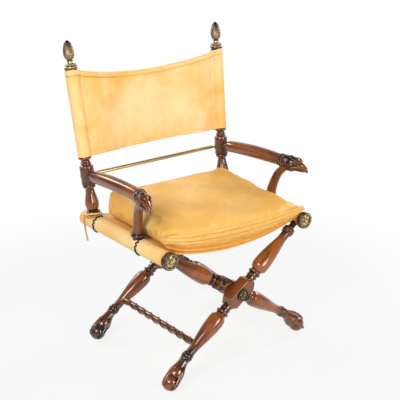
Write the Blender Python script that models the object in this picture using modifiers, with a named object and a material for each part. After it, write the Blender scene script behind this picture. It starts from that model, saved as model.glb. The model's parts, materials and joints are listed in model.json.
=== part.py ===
"""Folding directors chair: two scissor frames, round seat rails, leather slings and a loose cushion.

Metres, +Z up. The chair faces -Y and stands on z = 0, with its left side at -X.
"""

import bpy
import bmesh
from math import acos, atan2, cos, hypot, pi, radians, sin, tan
from mathutils import Matrix, Vector

# Gap between pieces that touch or turn in each other
FIT = 0.0003

# Seat rails: round bars with a pivot rod along their axis, wrapped in leather
RAIL_SPACING = 0.540
RAIL_HEIGHT = 0.417
RAIL_RADIUS = 0.0222
RAIL_FRONT = 0.177
RAIL_REAR = 0.272
RAIL_LEATHER = 0.003
PIVOT_ROD_RADIUS = 0.004
CAP_LENGTH = 0.018
CAP_RADIUS = 0.0285
ROSETTE_RADIUS = 0.0205
ROSETTE_HEIGHT = 0.007

# Scissor frames: legs cross at the hubs and hang on the rails' pivot rods
HUB_HEIGHT = 0.2355
FRONT_PLANE = 0.180
REAR_PLANE = 0.211
LEG_PITCH = 0.046
FRONT_SPLAY = radians(3.5)
REAR_SPLAY = radians(0)
FOLDED_SPACING = 0.150
BLOCK_DEPTH = 0.042
BLOCK_WIDTH = 0.052
BLOCK_LENGTH = 0.116
BLOCK_CHAMFER = 0.017
BOLT_RADIUS = 0.005
NUT_RADIUS = 0.0095
NUT_HEIGHT = 0.007
WASHER_RADIUS = 0.014
HUB_ROSETTE_RADIUS = 0.0195
HUB_ROSETTE_HEIGHT = 0.009
EYE_RADIUS = 0.0125
EYE_WIDTH = 0.025
LEG_NECK = 0.0105
LEG_WAIST = 0.0118
LEG_COLLAR = 0.0205
LEG_RING = 0.0185
UPPER_BULB = 0.0275
LOWER_BULB = 0.0265
BULB_OFFSET = 0.061
COLLAR_DROP = 0.058
ANKLE_AT = 0.262
ANKLE_COLLAR = 0.0185

# Claw and ball feet
FOOT_SPREAD = 0.5668
BALL_RADIUS = 0.030
BALL_HEIGHT = 0.0285
TALON_RADIUS = 0.0055
TALON_ANGLES = (45, 135, 225, 315)

# Twisted stretchers between the front and rear legs
STRETCHER_AT = 0.214
STRETCHER_RADIUS = 0.0115
STRETCHER_HOLLOW = 0.0093
STRETCHER_TURNS = 2.25

# Back posts
POST_Y = 0.228
POST_RAKE = radians(8.1)
POST_SPLAY = radians(2.4)
POST_BLOCK = 0.0225
POST_BLOCK_LOW = 0.098
POST_BLOCK_HIGH = 0.152
POST_BELLY = 0.0222
POST_COLLAR = 0.0235
POST_FOOT = 0.017
POST_SHAFT = 0.018
DOWEL_RADIUS = 0.008
DOWEL_LENGTH = 0.011
SLING_LOW = 0.189
SLING_HIGH = 0.467
SLEEVE_LEATHER = 0.003
CROWN_RADIUS = 0.0225
CROWN_HEIGHT = 0.019
CONE_RADIUS = 0.0187
CONE_HEIGHT = 0.057
STEM_HEIGHT = 0.009
STEM_RADIUS = 0.0075

# Arms with carved bird heads on curved supports
ARM_AT = 0.130
ARM_RADIUS = 0.020
ARM_NECK = 0.0125
ARM_FRONT = 0.028
ARM_RISE = 0.014
ARM_FLARE = 0.008
ARM_COLLAR = 0.0225
ARM_COLLAR_LENGTH = 0.017
HEAD_TURN = radians(14)
SKULL_LENGTH = 0.035
SKULL_WIDTH = 0.022
SKULL_HEIGHT = 0.027
SKULL_AHEAD = 0.032
BEAK_REACH = 0.112
BEAK_DROP = 0.022
SUPPORT_Y = -0.0255
SUPPORT_FOOT = 0.0175
SUPPORT_TOP = 0.0115
SUPPORT_COLLAR = 0.0235

# Brass rod behind the posts, held by an eye and a hook on studs
ROD_AT = 0.1225
ROD_RADIUS = 0.006
ROD_EYE = 0.0115
ROD_EYE_THICKNESS = 0.008
HOOK_RELIEF = 0.005
STUD_RADIUS = 0.004
STUD_FLANGE = 0.008
STUD_FLANGE_HEIGHT = 0.003
STUD_KNOB = 0.0065
STUD_KNOB_HEIGHT = 0.005

# Leather slings and the cushion
SLING_THICKNESS = 0.003
SEAT_SAG = 0.039
SEAT_FRONT = 0.172
SEAT_REAR = 0.262
SEAT_SEAM = radians(40)
BACK_SAG = 0.033
BACK_BOW = 0.012
CUSHION_OVERHANG = 0.001
CUSHION_CLEARANCE = 0.0005
CUSHION_DEPTH = 0.416
CUSHION_MIDDLE = 0.007
CUSHION_TAPER = 0.04
CUSHION_TURN = radians(-3)
CUSHION_FRONT_EDGE = 0.033
CUSHION_REAR_EDGE = 0.082
CUSHION_CROWN = 0.022
CUSHION_FRONT_DRAW = 0.030
CUSHION_SINK = 0.0014

# Leather lace at the left post, with a hanging tail
LACE_RADIUS = 0.0022
KNOT_RADIUS = 0.0048
TAIL_LENGTH = 0.074

# Facets around turned pieces
MANY_SIDES = 20
SIDES = 12

# Sizes that follow from the ones above
HALF_SPACING = RAIL_SPACING / 2
COVER_INNER = RAIL_RADIUS + FIT
COVER_RADIUS = COVER_INNER + RAIL_LEATHER
COVER_TOP = RAIL_HEIGHT + COVER_RADIUS
RISE = RAIL_HEIGHT - HUB_HEIGHT
REST_SLOPE = atan2(RISE, HALF_SPACING)
UPPER_LENGTH = hypot(HALF_SPACING, RISE)
FOLDED_SLOPE = acos(FOLDED_SPACING / 2 / UPPER_LENGTH)
FRAMES = {"front": (-1, FRONT_PLANE, FRONT_SPLAY), "rear": (1, REAR_PLANE, REAR_SPLAY)}
SLEEVE_INNER = POST_SHAFT + FIT
SLEEVE_RADIUS = SLEEVE_INNER + SLEEVE_LEATHER
CROWN_LOW = SLING_HIGH + 0.006
CROWN_HIGH = CROWN_LOW + CROWN_HEIGHT
CONE_LOW = CROWN_HIGH + STEM_HEIGHT
FINIAL_TOP = CONE_LOW + CONE_HEIGHT
STUD_START = POST_BLOCK + FIT
ROD_LOW = STUD_START + STUD_FLANGE_HEIGHT + FIT
ROD_OFFSET = ROD_LOW + ROD_EYE_THICKNESS / 2
KNOB_START = ROD_LOW + ROD_EYE_THICKNESS + FIT
SEAM_X = HALF_SPACING - COVER_RADIUS * cos(SEAT_SEAM)
SEAM_Z = RAIL_HEIGHT + COVER_RADIUS * sin(SEAT_SEAM)
POST_BACK = Vector((0, cos(POST_RAKE), -sin(POST_RAKE)))
CUSHION_CORNER = HALF_SPACING + CUSHION_OVERHANG
CUSHION_WAIST = HALF_SPACING - SUPPORT_COLLAR - CUSHION_CLEARANCE

FINIAL_PROFILE = (
    (0, FINIAL_TOP),
    (0.28 * CONE_RADIUS, FINIAL_TOP - 0.02 * CONE_HEIGHT),
    (0.66 * CONE_RADIUS, CONE_LOW + 0.80 * CONE_HEIGHT),
    (0.90 * CONE_RADIUS, CONE_LOW + 0.55 * CONE_HEIGHT),
    (CONE_RADIUS, CONE_LOW + 0.32 * CONE_HEIGHT),
    (0.85 * CONE_RADIUS, CONE_LOW + 0.12 * CONE_HEIGHT),
    (STEM_RADIUS, CONE_LOW),
    (0.8 * STEM_RADIUS, CONE_LOW - 0.4 * STEM_HEIGHT),
    (1.3 * STEM_RADIUS, CROWN_HIGH + FIT),
    (0, CROWN_HIGH + FIT),
)
CROWN_PROFILE = (
    (0, CROWN_HIGH),
    (0.60 * CROWN_RADIUS, CROWN_HIGH),
    (0.92 * CROWN_RADIUS, CROWN_HIGH - 0.22 * CROWN_HEIGHT),
    (CROWN_RADIUS, CROWN_HIGH - 0.42 * CROWN_HEIGHT),
    (0.78 * CROWN_RADIUS, CROWN_HIGH - 0.66 * CROWN_HEIGHT),
    (0.86 * CROWN_RADIUS, CROWN_LOW + FIT),
    (0, CROWN_LOW + FIT),
)


def post_reach(profile):
    """Furthest reach to the rear of a piece turned round the post's axis."""
    return max(POST_Y + h * sin(POST_RAKE) + r * cos(POST_RAKE) for r, h in profile)


def foot_distance(splay):
    """Distance from a hub to the end of the leg's straight axis above its foot."""
    return FOOT_SPREAD / 2 / (cos(REST_SLOPE) * cos(splay))


def leg_y(plane, splay, distance):
    """Distance from the hubs' frame to a leg's axis, below its hub or, as a negative distance, above it."""
    return plane + distance * sin(splay)


# The origin lies under the middle of the chair's box, so the hubs' frame is set ahead of it
FRONT_REACH = leg_y(FRONT_PLANE, FRONT_SPLAY, foot_distance(FRONT_SPLAY)) + BALL_RADIUS
REAR_REACH = max(post_reach(FINIAL_PROFILE), post_reach(CROWN_PROFILE))
FRAME_Y = (FRONT_REACH - REAR_REACH) / 2

chair = bpy.data.collections.new("directors_chair")
tools = bpy.data.collections.new("cutters")
materials = {}
bodies = {}


def clear_scene():
    """Empty the scene and give it the chair's two collections."""
    for thing in list(bpy.data.objects):
        bpy.data.objects.remove(thing, do_unlink=True)
    for collection in (chair, tools):
        bpy.context.scene.collection.children.link(collection)


def make_material(name, colour, roughness, metallic=0.0):
    """Principled finish shared by pieces of one kind."""
    finish = bpy.data.materials.new(name)
    finish.use_nodes = True
    shader = finish.node_tree.nodes["Principled BSDF"]
    shader.inputs["Base Color"].default_value = (*colour, 1)
    shader.inputs["Roughness"].default_value = roughness
    shader.inputs["Metallic"].default_value = metallic
    materials[name] = finish


def make_body(name, place, parent=None):
    """Empty on a moving body's joint axis, placed in the frame of the two hubs."""
    empty = bpy.data.objects.new(name + "_axis", None)
    chair.objects.link(empty)
    if parent:
        empty.parent = bodies[parent]["empty"]
    start = bodies[parent]["place"] if parent else Vector((0, -FRAME_Y, 0))
    empty.location = Vector(place) - start
    bodies[name] = {"empty": empty, "place": Vector(place)}


def aim(origin, direction, across=(0, 1, 0)):
    """Frame at origin with local Z along direction and local Y close to across."""
    z = Vector(direction).normalized()
    y = (Vector(across) - z * z.dot(Vector(across))).normalized()
    x = y.cross(z)
    return Matrix.Translation(Vector(origin)) @ Matrix((x, y, z)).transposed().to_4x4()


def settle(thing, matrix, body):
    """Hang an object on a body's empty at a place given in the hubs' frame."""
    thing.parent = bodies[body]["empty"]
    thing.matrix_parent_inverse = Matrix()
    thing.matrix_basis = Matrix.Translation(-bodies[body]["place"]) @ matrix


def finish_piece(thing, material):
    """Turn an object into a finished sub-part of the chair."""
    thing.data.materials.append(materials[material])
    thing.data.shade_smooth()
    chair.objects.link(thing)
    return thing


def make_tool(thing):
    """Keep an object only as an operand of a Boolean."""
    tools.objects.link(thing)
    thing.hide_render = True
    thing.display_type = "WIRE"
    return thing


def boolean(thing, operation, *others):
    """Join shapes to a piece, or cut them from it, in order."""
    for other in others:
        step = thing.modifiers.new(other.name, "BOOLEAN")
        step.operation = operation
        step.object = other
        step.solver = "EXACT"


def from_bmesh(name, bm):
    """Object from a bmesh, which is freed."""
    bmesh.ops.recalc_face_normals(bm, faces=bm.faces)
    mesh = bpy.data.meshes.new(name)
    bm.to_mesh(mesh)
    bm.free()
    return bpy.data.objects.new(name, mesh)


def turned(name, profile, sides=SIDES, closed=False):
    """Profile of (radius, height) pairs, top to bottom, turned round local Z."""
    bm = bmesh.new()
    points = [bm.verts.new((radius, 0, height)) for radius, height in profile]
    for low, high in zip(points, points[1:]):
        bm.edges.new((low, high))
    if closed:
        bm.edges.new((points[-1], points[0]))
    mesh = bpy.data.meshes.new(name)
    bm.to_mesh(mesh)
    bm.free()
    thing = bpy.data.objects.new(name, mesh)
    screw = thing.modifiers.new("turn", "SCREW")
    screw.steps = sides
    screw.render_steps = sides
    screw.use_merge_vertices = True
    screw.merge_threshold = 0.00001
    return thing


def ring_profile(inner, outer, low, high):
    """Closed section of a tube, top to bottom on its outer side."""
    return ((inner, high), (outer, high), (outer, low), (inner, low))


def cylinder(name, radius, low, high, sides=SIDES):
    """Capped cylinder along local Z."""
    bm = bmesh.new()
    middle = Matrix.Translation((0, 0, (low + high) / 2))
    bmesh.ops.create_cone(bm, cap_ends=True, segments=sides, radius1=radius, radius2=radius,
                          depth=high - low, matrix=middle)
    return from_bmesh(name, bm)


def ellipsoid(name, radii, sides=SIDES):
    """Ball stretched to three half sizes."""
    bm = bmesh.new()
    bmesh.ops.create_uvsphere(bm, u_segments=sides, v_segments=sides // 2, radius=1,
                              matrix=Matrix.Diagonal((*radii, 1)))
    return from_bmesh(name, bm)


def box(name, size, chamfer=0, across=None):
    """Box of the given size, with chamfers on the edges along one local axis."""
    bm = bmesh.new()
    bmesh.ops.create_cube(bm, size=1, matrix=Matrix.Diagonal((*size, 1)))
    if chamfer:
        along = [e for e in bm.edges if abs((e.verts[0].co - e.verts[1].co).normalized()[across]) > 0.9]
        bmesh.ops.bevel(bm, geom=along, offset=chamfer, segments=1, affect="EDGES")
    return from_bmesh(name, bm)


def curve_mesh(name, curve):
    """Mesh of a curve, with its caps welded on."""
    guide = bpy.data.objects.new(name + "_guide", curve)
    bpy.context.scene.collection.objects.link(guide)
    graph = bpy.context.evaluated_depsgraph_get()
    mesh = bpy.data.meshes.new_from_object(guide.evaluated_get(graph))
    bpy.data.objects.remove(guide)
    bm = bmesh.new()
    bm.from_mesh(mesh)
    bpy.data.meshes.remove(mesh)
    bmesh.ops.remove_doubles(bm, verts=bm.verts, dist=0.00001)
    return from_bmesh(name, bm)


def tube(name, points, radii, resolution=2):
    """Round tube through points, with a radius at each of them."""
    curve = bpy.data.curves.new(name, "CURVE")
    curve.dimensions = "3D"
    curve.bevel_depth = 1
    curve.bevel_resolution = resolution
    curve.use_fill_caps = True
    spline = curve.splines.new("POLY")
    spline.points.add(len(points) - 1)
    for point, place, radius in zip(spline.points, points, radii):
        point.co = (*place, 1)
        point.radius = radius
    return curve_mesh(name, curve)


def prism(name, outline, width):
    """Flat outline in local XY, with its width along local Z."""
    curve = bpy.data.curves.new(name, "CURVE")
    curve.dimensions = "2D"
    curve.fill_mode = "BOTH"
    curve.extrude = width / 2
    spline = curve.splines.new("POLY")
    spline.points.add(len(outline) - 1)
    spline.use_cyclic_u = True
    for point, place in zip(spline.points, outline):
        point.co = (*place, 0, 1)
    return curve_mesh(name, curve)


def smooth_path(points, steps):
    """Points on a smooth curve through the given ones."""
    ends = [2 * points[0] - points[1], *points, 2 * points[-1] - points[-2]]
    path = []
    for a, b, c, d in zip(ends, ends[1:], ends[2:], ends[3:]):
        for k in range(steps):
            t = k / steps
            path.append(0.5 * (2 * b + t * (c - a) + t * t * (2 * a - 5 * b + 4 * c - d)
                               + t ** 3 * (3 * b - a - 3 * c + d)))
    path.append(points[-1])
    return path


def leg_half(end, end_radius, collar_at, collar, bulb):
    """Turning of one half of a leg, from its outer end to the hub, as (radius, distance)."""
    waist_end = collar_at - 0.066
    bulb_at = BLOCK_LENGTH / 2 + BULB_OFFSET
    rows = [
        (end_radius, end),
        (end_radius, collar_at + 0.011),
        (collar, collar_at + 0.006),
        (collar, collar_at - 0.005),
        (LEG_WAIST, collar_at - 0.010),
        (LEG_WAIST, waist_end),
    ]
    for share in (0.25, 0.5, 0.75, 1.0):
        swell = sin(share * pi / 2) ** 1.7
        rows.append((LEG_WAIST + (bulb - LEG_WAIST) * swell, waist_end + (bulb_at - waist_end) * share))
    rows += [
        (0.93 * bulb, bulb_at - 0.013),
        (0.70 * bulb, bulb_at - 0.023),
        (0.75 * LEG_RING, bulb_at - 0.028),
        (LEG_RING, bulb_at - 0.031),
        (LEG_RING, bulb_at - 0.037),
        (0.72 * LEG_RING, bulb_at - 0.041),
        (0.72 * LEG_RING, BLOCK_LENGTH / 2 - 0.010),
    ]
    return rows


def claw_foot(name, ankle, ball, body):
    """Shank, ball and talons of a foot, as operands for the leg."""
    down = ball - ankle
    length = down.length
    frame = aim(ankle, down)
    shank = make_tool(turned(name + "_shank", [
        (0, length - 0.2 * BALL_RADIUS),
        (0.85 * BALL_RADIUS, length - 0.2 * BALL_RADIUS),
        (0.88 * BALL_RADIUS, length - 0.7 * BALL_RADIUS),
        (0.66 * BALL_RADIUS, length - 1.4 * BALL_RADIUS),
        (1.1 * LEG_WAIST, 0.15 * length),
        (LEG_WAIST, -0.004),
        (0, -0.004),
    ]))
    settle(shank, frame, body)
    globe = make_tool(ellipsoid(name + "_ball", (BALL_RADIUS,) * 3))
    settle(globe, Matrix.Translation(ball), body)
    claws = []
    for angle in TALON_ANGLES:
        outward = Vector((cos(radians(angle)), sin(radians(angle)), 0))
        rows = ((0.45, -1.5), (0.80, -0.9), (0.97, -0.35), (0.96, 0.25), (0.76, 0.66))
        points = [outward * (reach * BALL_RADIUS) + Vector((0, 0, length + along * BALL_RADIUS))
                  for reach, along in rows]
        widths = [share * TALON_RADIUS for share in (0.9, 1.0, 1.0, 0.8, 0.35)]
        claw = make_tool(tube(f"{name}_talon_{angle}", points, widths, 1))
        settle(claw, frame, body)
        claws.append(claw)
    return [shank, globe, *claws]


def leg_direction(side, face, splay):
    """Unit vector up a leg that hangs on the rail of the given side."""
    return Vector((side * cos(REST_SLOPE) * cos(splay), -face * sin(splay), sin(REST_SLOPE) * cos(splay)))


def make_leg(name, body, side, face, plane, splay):
    """Turned leg with its hub block, top eye and claw foot; side is the rail that it hangs on."""
    up = leg_direction(side, face, splay)
    hub = Vector((0, face * plane, HUB_HEIGHT))
    frame = aim(hub, up)
    length = UPPER_LENGTH / cos(splay)
    upper = leg_half(length, LEG_NECK, length - COLLAR_DROP, LEG_COLLAR, UPPER_BULB)
    lower = leg_half(ANKLE_AT + 0.018, LEG_WAIST, ANKLE_AT, ANKLE_COLLAR, LOWER_BULB)
    lower = [(radius, -distance) for radius, distance in reversed(lower)]
    leg = turned(name, [(0, length), *upper, *lower, (0, lower[-1][1])])
    settle(leg, frame, body)

    level = aim(hub, (side * cos(REST_SLOPE), 0, sin(REST_SLOPE)))
    block = make_tool(box(name + "_block", (BLOCK_WIDTH, BLOCK_DEPTH, BLOCK_LENGTH), BLOCK_CHAMFER, 1))
    settle(block, level, body)
    pin = hub + up * length
    eye = make_tool(cylinder(name + "_eye", EYE_RADIUS, -EYE_WIDTH / 2, EYE_WIDTH / 2))
    settle(eye, aim(pin, (0, 1, 0), (0, 0, 1)), body)
    ankle = hub - up * (ANKLE_AT + 0.012)
    ball = hub - up * foot_distance(splay)
    ball.z = BALL_HEIGHT
    boolean(leg, "UNION", block, eye, *claw_foot(name, ankle, ball, body))

    hub_bore = make_tool(cylinder(name + "_hub_bore", BOLT_RADIUS + FIT, -BLOCK_DEPTH, BLOCK_DEPTH))
    settle(hub_bore, aim(hub, (0, 1, 0), (0, 0, 1)), body)
    eye_bore = make_tool(cylinder(name + "_eye_bore", PIVOT_ROD_RADIUS + FIT, -EYE_WIDTH, EYE_WIDTH))
    settle(eye_bore, aim(pin, (0, 1, 0), (0, 0, 1)), body)
    floor = make_tool(box(name + "_floor", (4 * BALL_RADIUS,) * 3))
    settle(floor, Matrix.Translation((ball.x, ball.y, -2 * BALL_RADIUS)), body)
    boolean(leg, "DIFFERENCE", hub_bore, eye_bore, floor)
    finish_piece(leg, "mahogany")


def make_stretcher(name, body, side):
    """Square bar twisted like rope, with saddle ends against the front and rear legs of one pair."""
    inset = 0 if side > 0 else LEG_PITCH
    ends = {}
    for face, plane, splay in FRAMES.values():
        up = leg_direction(side, face, splay)
        ends[face] = (Vector((0, face * (plane - inset), HUB_HEIGHT)) - up * STRETCHER_AT, up)
    start, stop = ends[-1][0], ends[1][0]
    length = (stop - start).length
    bm = bmesh.new()
    corners = 8
    loop = []
    for k in range(corners):
        radius = STRETCHER_RADIUS if k % 2 == 0 else STRETCHER_HOLLOW
        angle = 2 * pi * k / corners
        loop.append(bm.verts.new((radius * cos(angle), radius * sin(angle), 0)))
    rim = [bm.edges.new((a, b)) for a, b in zip(loop, loop[1:] + loop[:1])]
    steps = round(STRETCHER_TURNS * 8)
    bmesh.ops.spin(bm, geom=loop + rim, cent=(0, 0, 0), axis=(0, 0, 1), dvec=(0, 0, length / steps),
                   angle=STRETCHER_TURNS * 2 * pi, steps=steps)
    open_edges = [edge for edge in bm.edges if edge.is_boundary]
    bmesh.ops.holes_fill(bm, edges=open_edges, sides=corners)
    bar = from_bmesh(name, bm)
    settle(bar, aim(start, stop - start, (0, 0, 1)), body)
    for face, (point, up) in ends.items():
        saddle = make_tool(cylinder(f"{name}_saddle_{face}", LEG_WAIST + FIT, -0.04, 0.04))
        settle(saddle, aim(point, up), body)
        behind = make_tool(box(f"{name}_end_{face}", (0.1, 0.1, 0.1)))
        settle(behind, Matrix.Translation(point + Vector((0, face * 0.05, 0))), body)
        boolean(bar, "DIFFERENCE", saddle, behind)
    finish_piece(bar, "mahogany")


def rosette_profile(radius, low, height):
    """Low dome with a rolled rim and a raised middle."""
    return ((0, low + height), (0.30 * radius, low + 0.95 * height), (0.42 * radius, low + 0.70 * height),
            (0.72 * radius, low + 0.85 * height), (0.95 * radius, low + 0.55 * height),
            (radius, low + 0.30 * height), (radius, low), (0, low))


def make_pivot(name, face, plane):
    """Bolt, washer, nut and rosette of one hub, stacked along Y from the outer leg inwards."""
    front = plane + BLOCK_DEPTH / 2
    between = plane - BLOCK_DEPTH / 2
    inner_front = front - LEG_PITCH
    inner_back = between - LEG_PITCH
    nut_low = inner_back - FIT - NUT_HEIGHT
    stack = aim((0, 0, HUB_HEIGHT), (0, face, 0), (0, 0, 1))
    bolt = cylinder(name + "_pivot_bolt", BOLT_RADIUS, nut_low - 0.003, front)
    section = ring_profile(BOLT_RADIUS + FIT, WASHER_RADIUS, inner_front + FIT, between - FIT)
    washer = turned(name + "_pivot_washer", section, closed=True)
    nut = cylinder(name + "_pivot_nut", NUT_RADIUS, nut_low, inner_back - FIT, 6)
    thread = make_tool(cylinder(name + "_nut_bore", BOLT_RADIUS + FIT, nut_low - 0.01, inner_back))
    settle(thread, stack, "outer_legs")
    boolean(nut, "DIFFERENCE", thread)
    rosette = turned(name + "_hub_rosette",
                     rosette_profile(HUB_ROSETTE_RADIUS, front + FIT, HUB_ROSETTE_HEIGHT))
    for piece, finish in ((bolt, "steel"), (washer, "steel"), (nut, "steel"), (rosette, "brass")):
        settle(piece, stack, "outer_legs")
        finish_piece(piece, finish)


def leg_slot(name, side, body, y):
    """Cutter for the gap in a rail's underside, in which a leg's top swings as the chair folds."""
    half = EYE_RADIUS + FIT
    reach = 1.4 * COVER_RADIUS
    far = hypot(reach, half)
    step = radians(15)

    def arc(start, end, radius):
        count = max(2, round(abs(end - start) / step))
        return [(radius * cos(start + (end - start) * k / count),
                 radius * sin(start + (end - start) * k / count)) for k in range(count + 1)]

    tilt = atan2(half, reach)
    outline = arc(-REST_SLOPE + tilt, -FOLDED_SLOPE - tilt, far)
    outline += arc(1.5 * pi - FOLDED_SLOPE, pi / 2 - REST_SLOPE, half)
    slot = make_tool(prism(name, outline, EYE_WIDTH + 2 * FIT))
    turn = Matrix(((-side, 0, 0), (0, 0, side), (0, 1, 0))).to_4x4()
    settle(slot, Matrix.Translation((side * HALF_SPACING, y, RAIL_HEIGHT)) @ turn, body)
    return slot


def post_direction(side):
    """Unit vector up a raked and splayed post."""
    return Vector((side * tan(POST_SPLAY), tan(POST_RAKE), 1)).normalized()


def post_point(side, height, back=0):
    """Point at a height along a post's axis, or behind it."""
    base = Vector((side * HALF_SPACING, POST_Y, COVER_TOP))
    return base + post_direction(side) * height + POST_BACK * back


def make_post(word, side, body):
    """Turned post on its rail, and the mortise cutter for its dowel."""
    frame = aim(post_point(side, 0), post_direction(side))
    post = turned(word + "_post", [
        (0, CROWN_LOW),
        (SLEEVE_RADIUS, CROWN_LOW),
        (SLEEVE_RADIUS, SLING_HIGH + FIT),
        (POST_SHAFT, SLING_HIGH + FIT),
        (POST_SHAFT, SLING_LOW),
        (SLEEVE_RADIUS, SLING_LOW - FIT),
        (SLEEVE_RADIUS, SLING_LOW - 0.006),
        (0.62 * POST_BLOCK, SLING_LOW - 0.014),
        (0.68 * POST_BLOCK, POST_BLOCK_HIGH + 0.012),
        (POST_BLOCK, POST_BLOCK_HIGH + 0.007),
        (POST_BLOCK, POST_BLOCK_LOW),
        (0.84 * POST_BLOCK, POST_BLOCK_LOW - 0.003),
        (0.84 * POST_BLOCK, POST_BLOCK_LOW - 0.009),
        (0.64 * POST_BLOCK, POST_BLOCK_LOW - 0.015),
        (0.76 * POST_BELLY, 0.064),
        (0.93 * POST_BELLY, 0.048),
        (POST_BELLY, 0.034),
        (0.90 * POST_BELLY, 0.021),
        (0.72 * POST_BELLY, 0.012),
        (POST_COLLAR, 0.009),
        (POST_COLLAR, 0.003),
        (POST_FOOT, 0.001),
        (POST_FOOT, -COVER_RADIUS),
        (0, -COVER_RADIUS),
    ])
    settle(post, frame, body)
    saddle = make_tool(cylinder(word + "_post_saddle", COVER_RADIUS + FIT, -0.05, 0.05, MANY_SIDES))
    settle(saddle, aim((side * HALF_SPACING, POST_Y, RAIL_HEIGHT), (0, 1, 0), (0, 0, 1)), body)
    dowel = make_tool(cylinder(word + "_post_dowel", DOWEL_RADIUS, -DOWEL_LENGTH, 0.004))
    settle(dowel, frame, body)
    boolean(post, "DIFFERENCE", saddle)
    boolean(post, "UNION", dowel)
    finish_piece(post, "mahogany")
    mortise = make_tool(cylinder(word + "_post_mortise", DOWEL_RADIUS + FIT, -DOWEL_LENGTH - FIT, 0.03))
    settle(mortise, frame, body)
    sleeve = turned(word + "_back_sleeve", ring_profile(SLEEVE_INNER, SLEEVE_RADIUS, SLING_LOW, SLING_HIGH),
                    closed=True)
    crown = turned(word + "_finial_crown", CROWN_PROFILE)
    finial = turned(word + "_finial", FINIAL_PROFILE)
    for piece, finish in ((sleeve, "leather"), (crown, "brass"), (finial, "brass")):
        settle(piece, frame, body)
        finish_piece(piece, finish)
    stud = turned(word + "_rod_stud", [
        (0, KNOB_START + STUD_KNOB_HEIGHT),
        (0.6 * STUD_KNOB, KNOB_START + STUD_KNOB_HEIGHT),
        (STUD_KNOB, KNOB_START + 0.5 * STUD_KNOB_HEIGHT),
        (STUD_KNOB, KNOB_START),
        (STUD_RADIUS, KNOB_START),
        (STUD_RADIUS, STUD_START + STUD_FLANGE_HEIGHT),
        (STUD_FLANGE, STUD_START + STUD_FLANGE_HEIGHT),
        (STUD_FLANGE, STUD_START),
        (0, STUD_START),
    ])
    settle(stud, aim(post_point(side, ROD_AT), POST_BACK, (1, 0, 0)), body)
    finish_piece(stud, "brass")
    return mortise


def arm_ends(side):
    """Start of an arm on its post's axis, and the front end of its turned part."""
    start = post_point(side, ARM_AT)
    end = Vector((start.x + side * ARM_FLARE, -ARM_FRONT, start.z + ARM_RISE))
    return start, end


def head_frame(side):
    """Frame of a bird head: local Z out along the beak, local Y up."""
    start, end = arm_ends(side)
    along = (end - start).normalized()
    out = Vector((side * sin(HEAD_TURN), -cos(HEAD_TURN), 0))
    return aim(end + along * ARM_COLLAR_LENGTH, out, (0, 0, 1))


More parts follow.
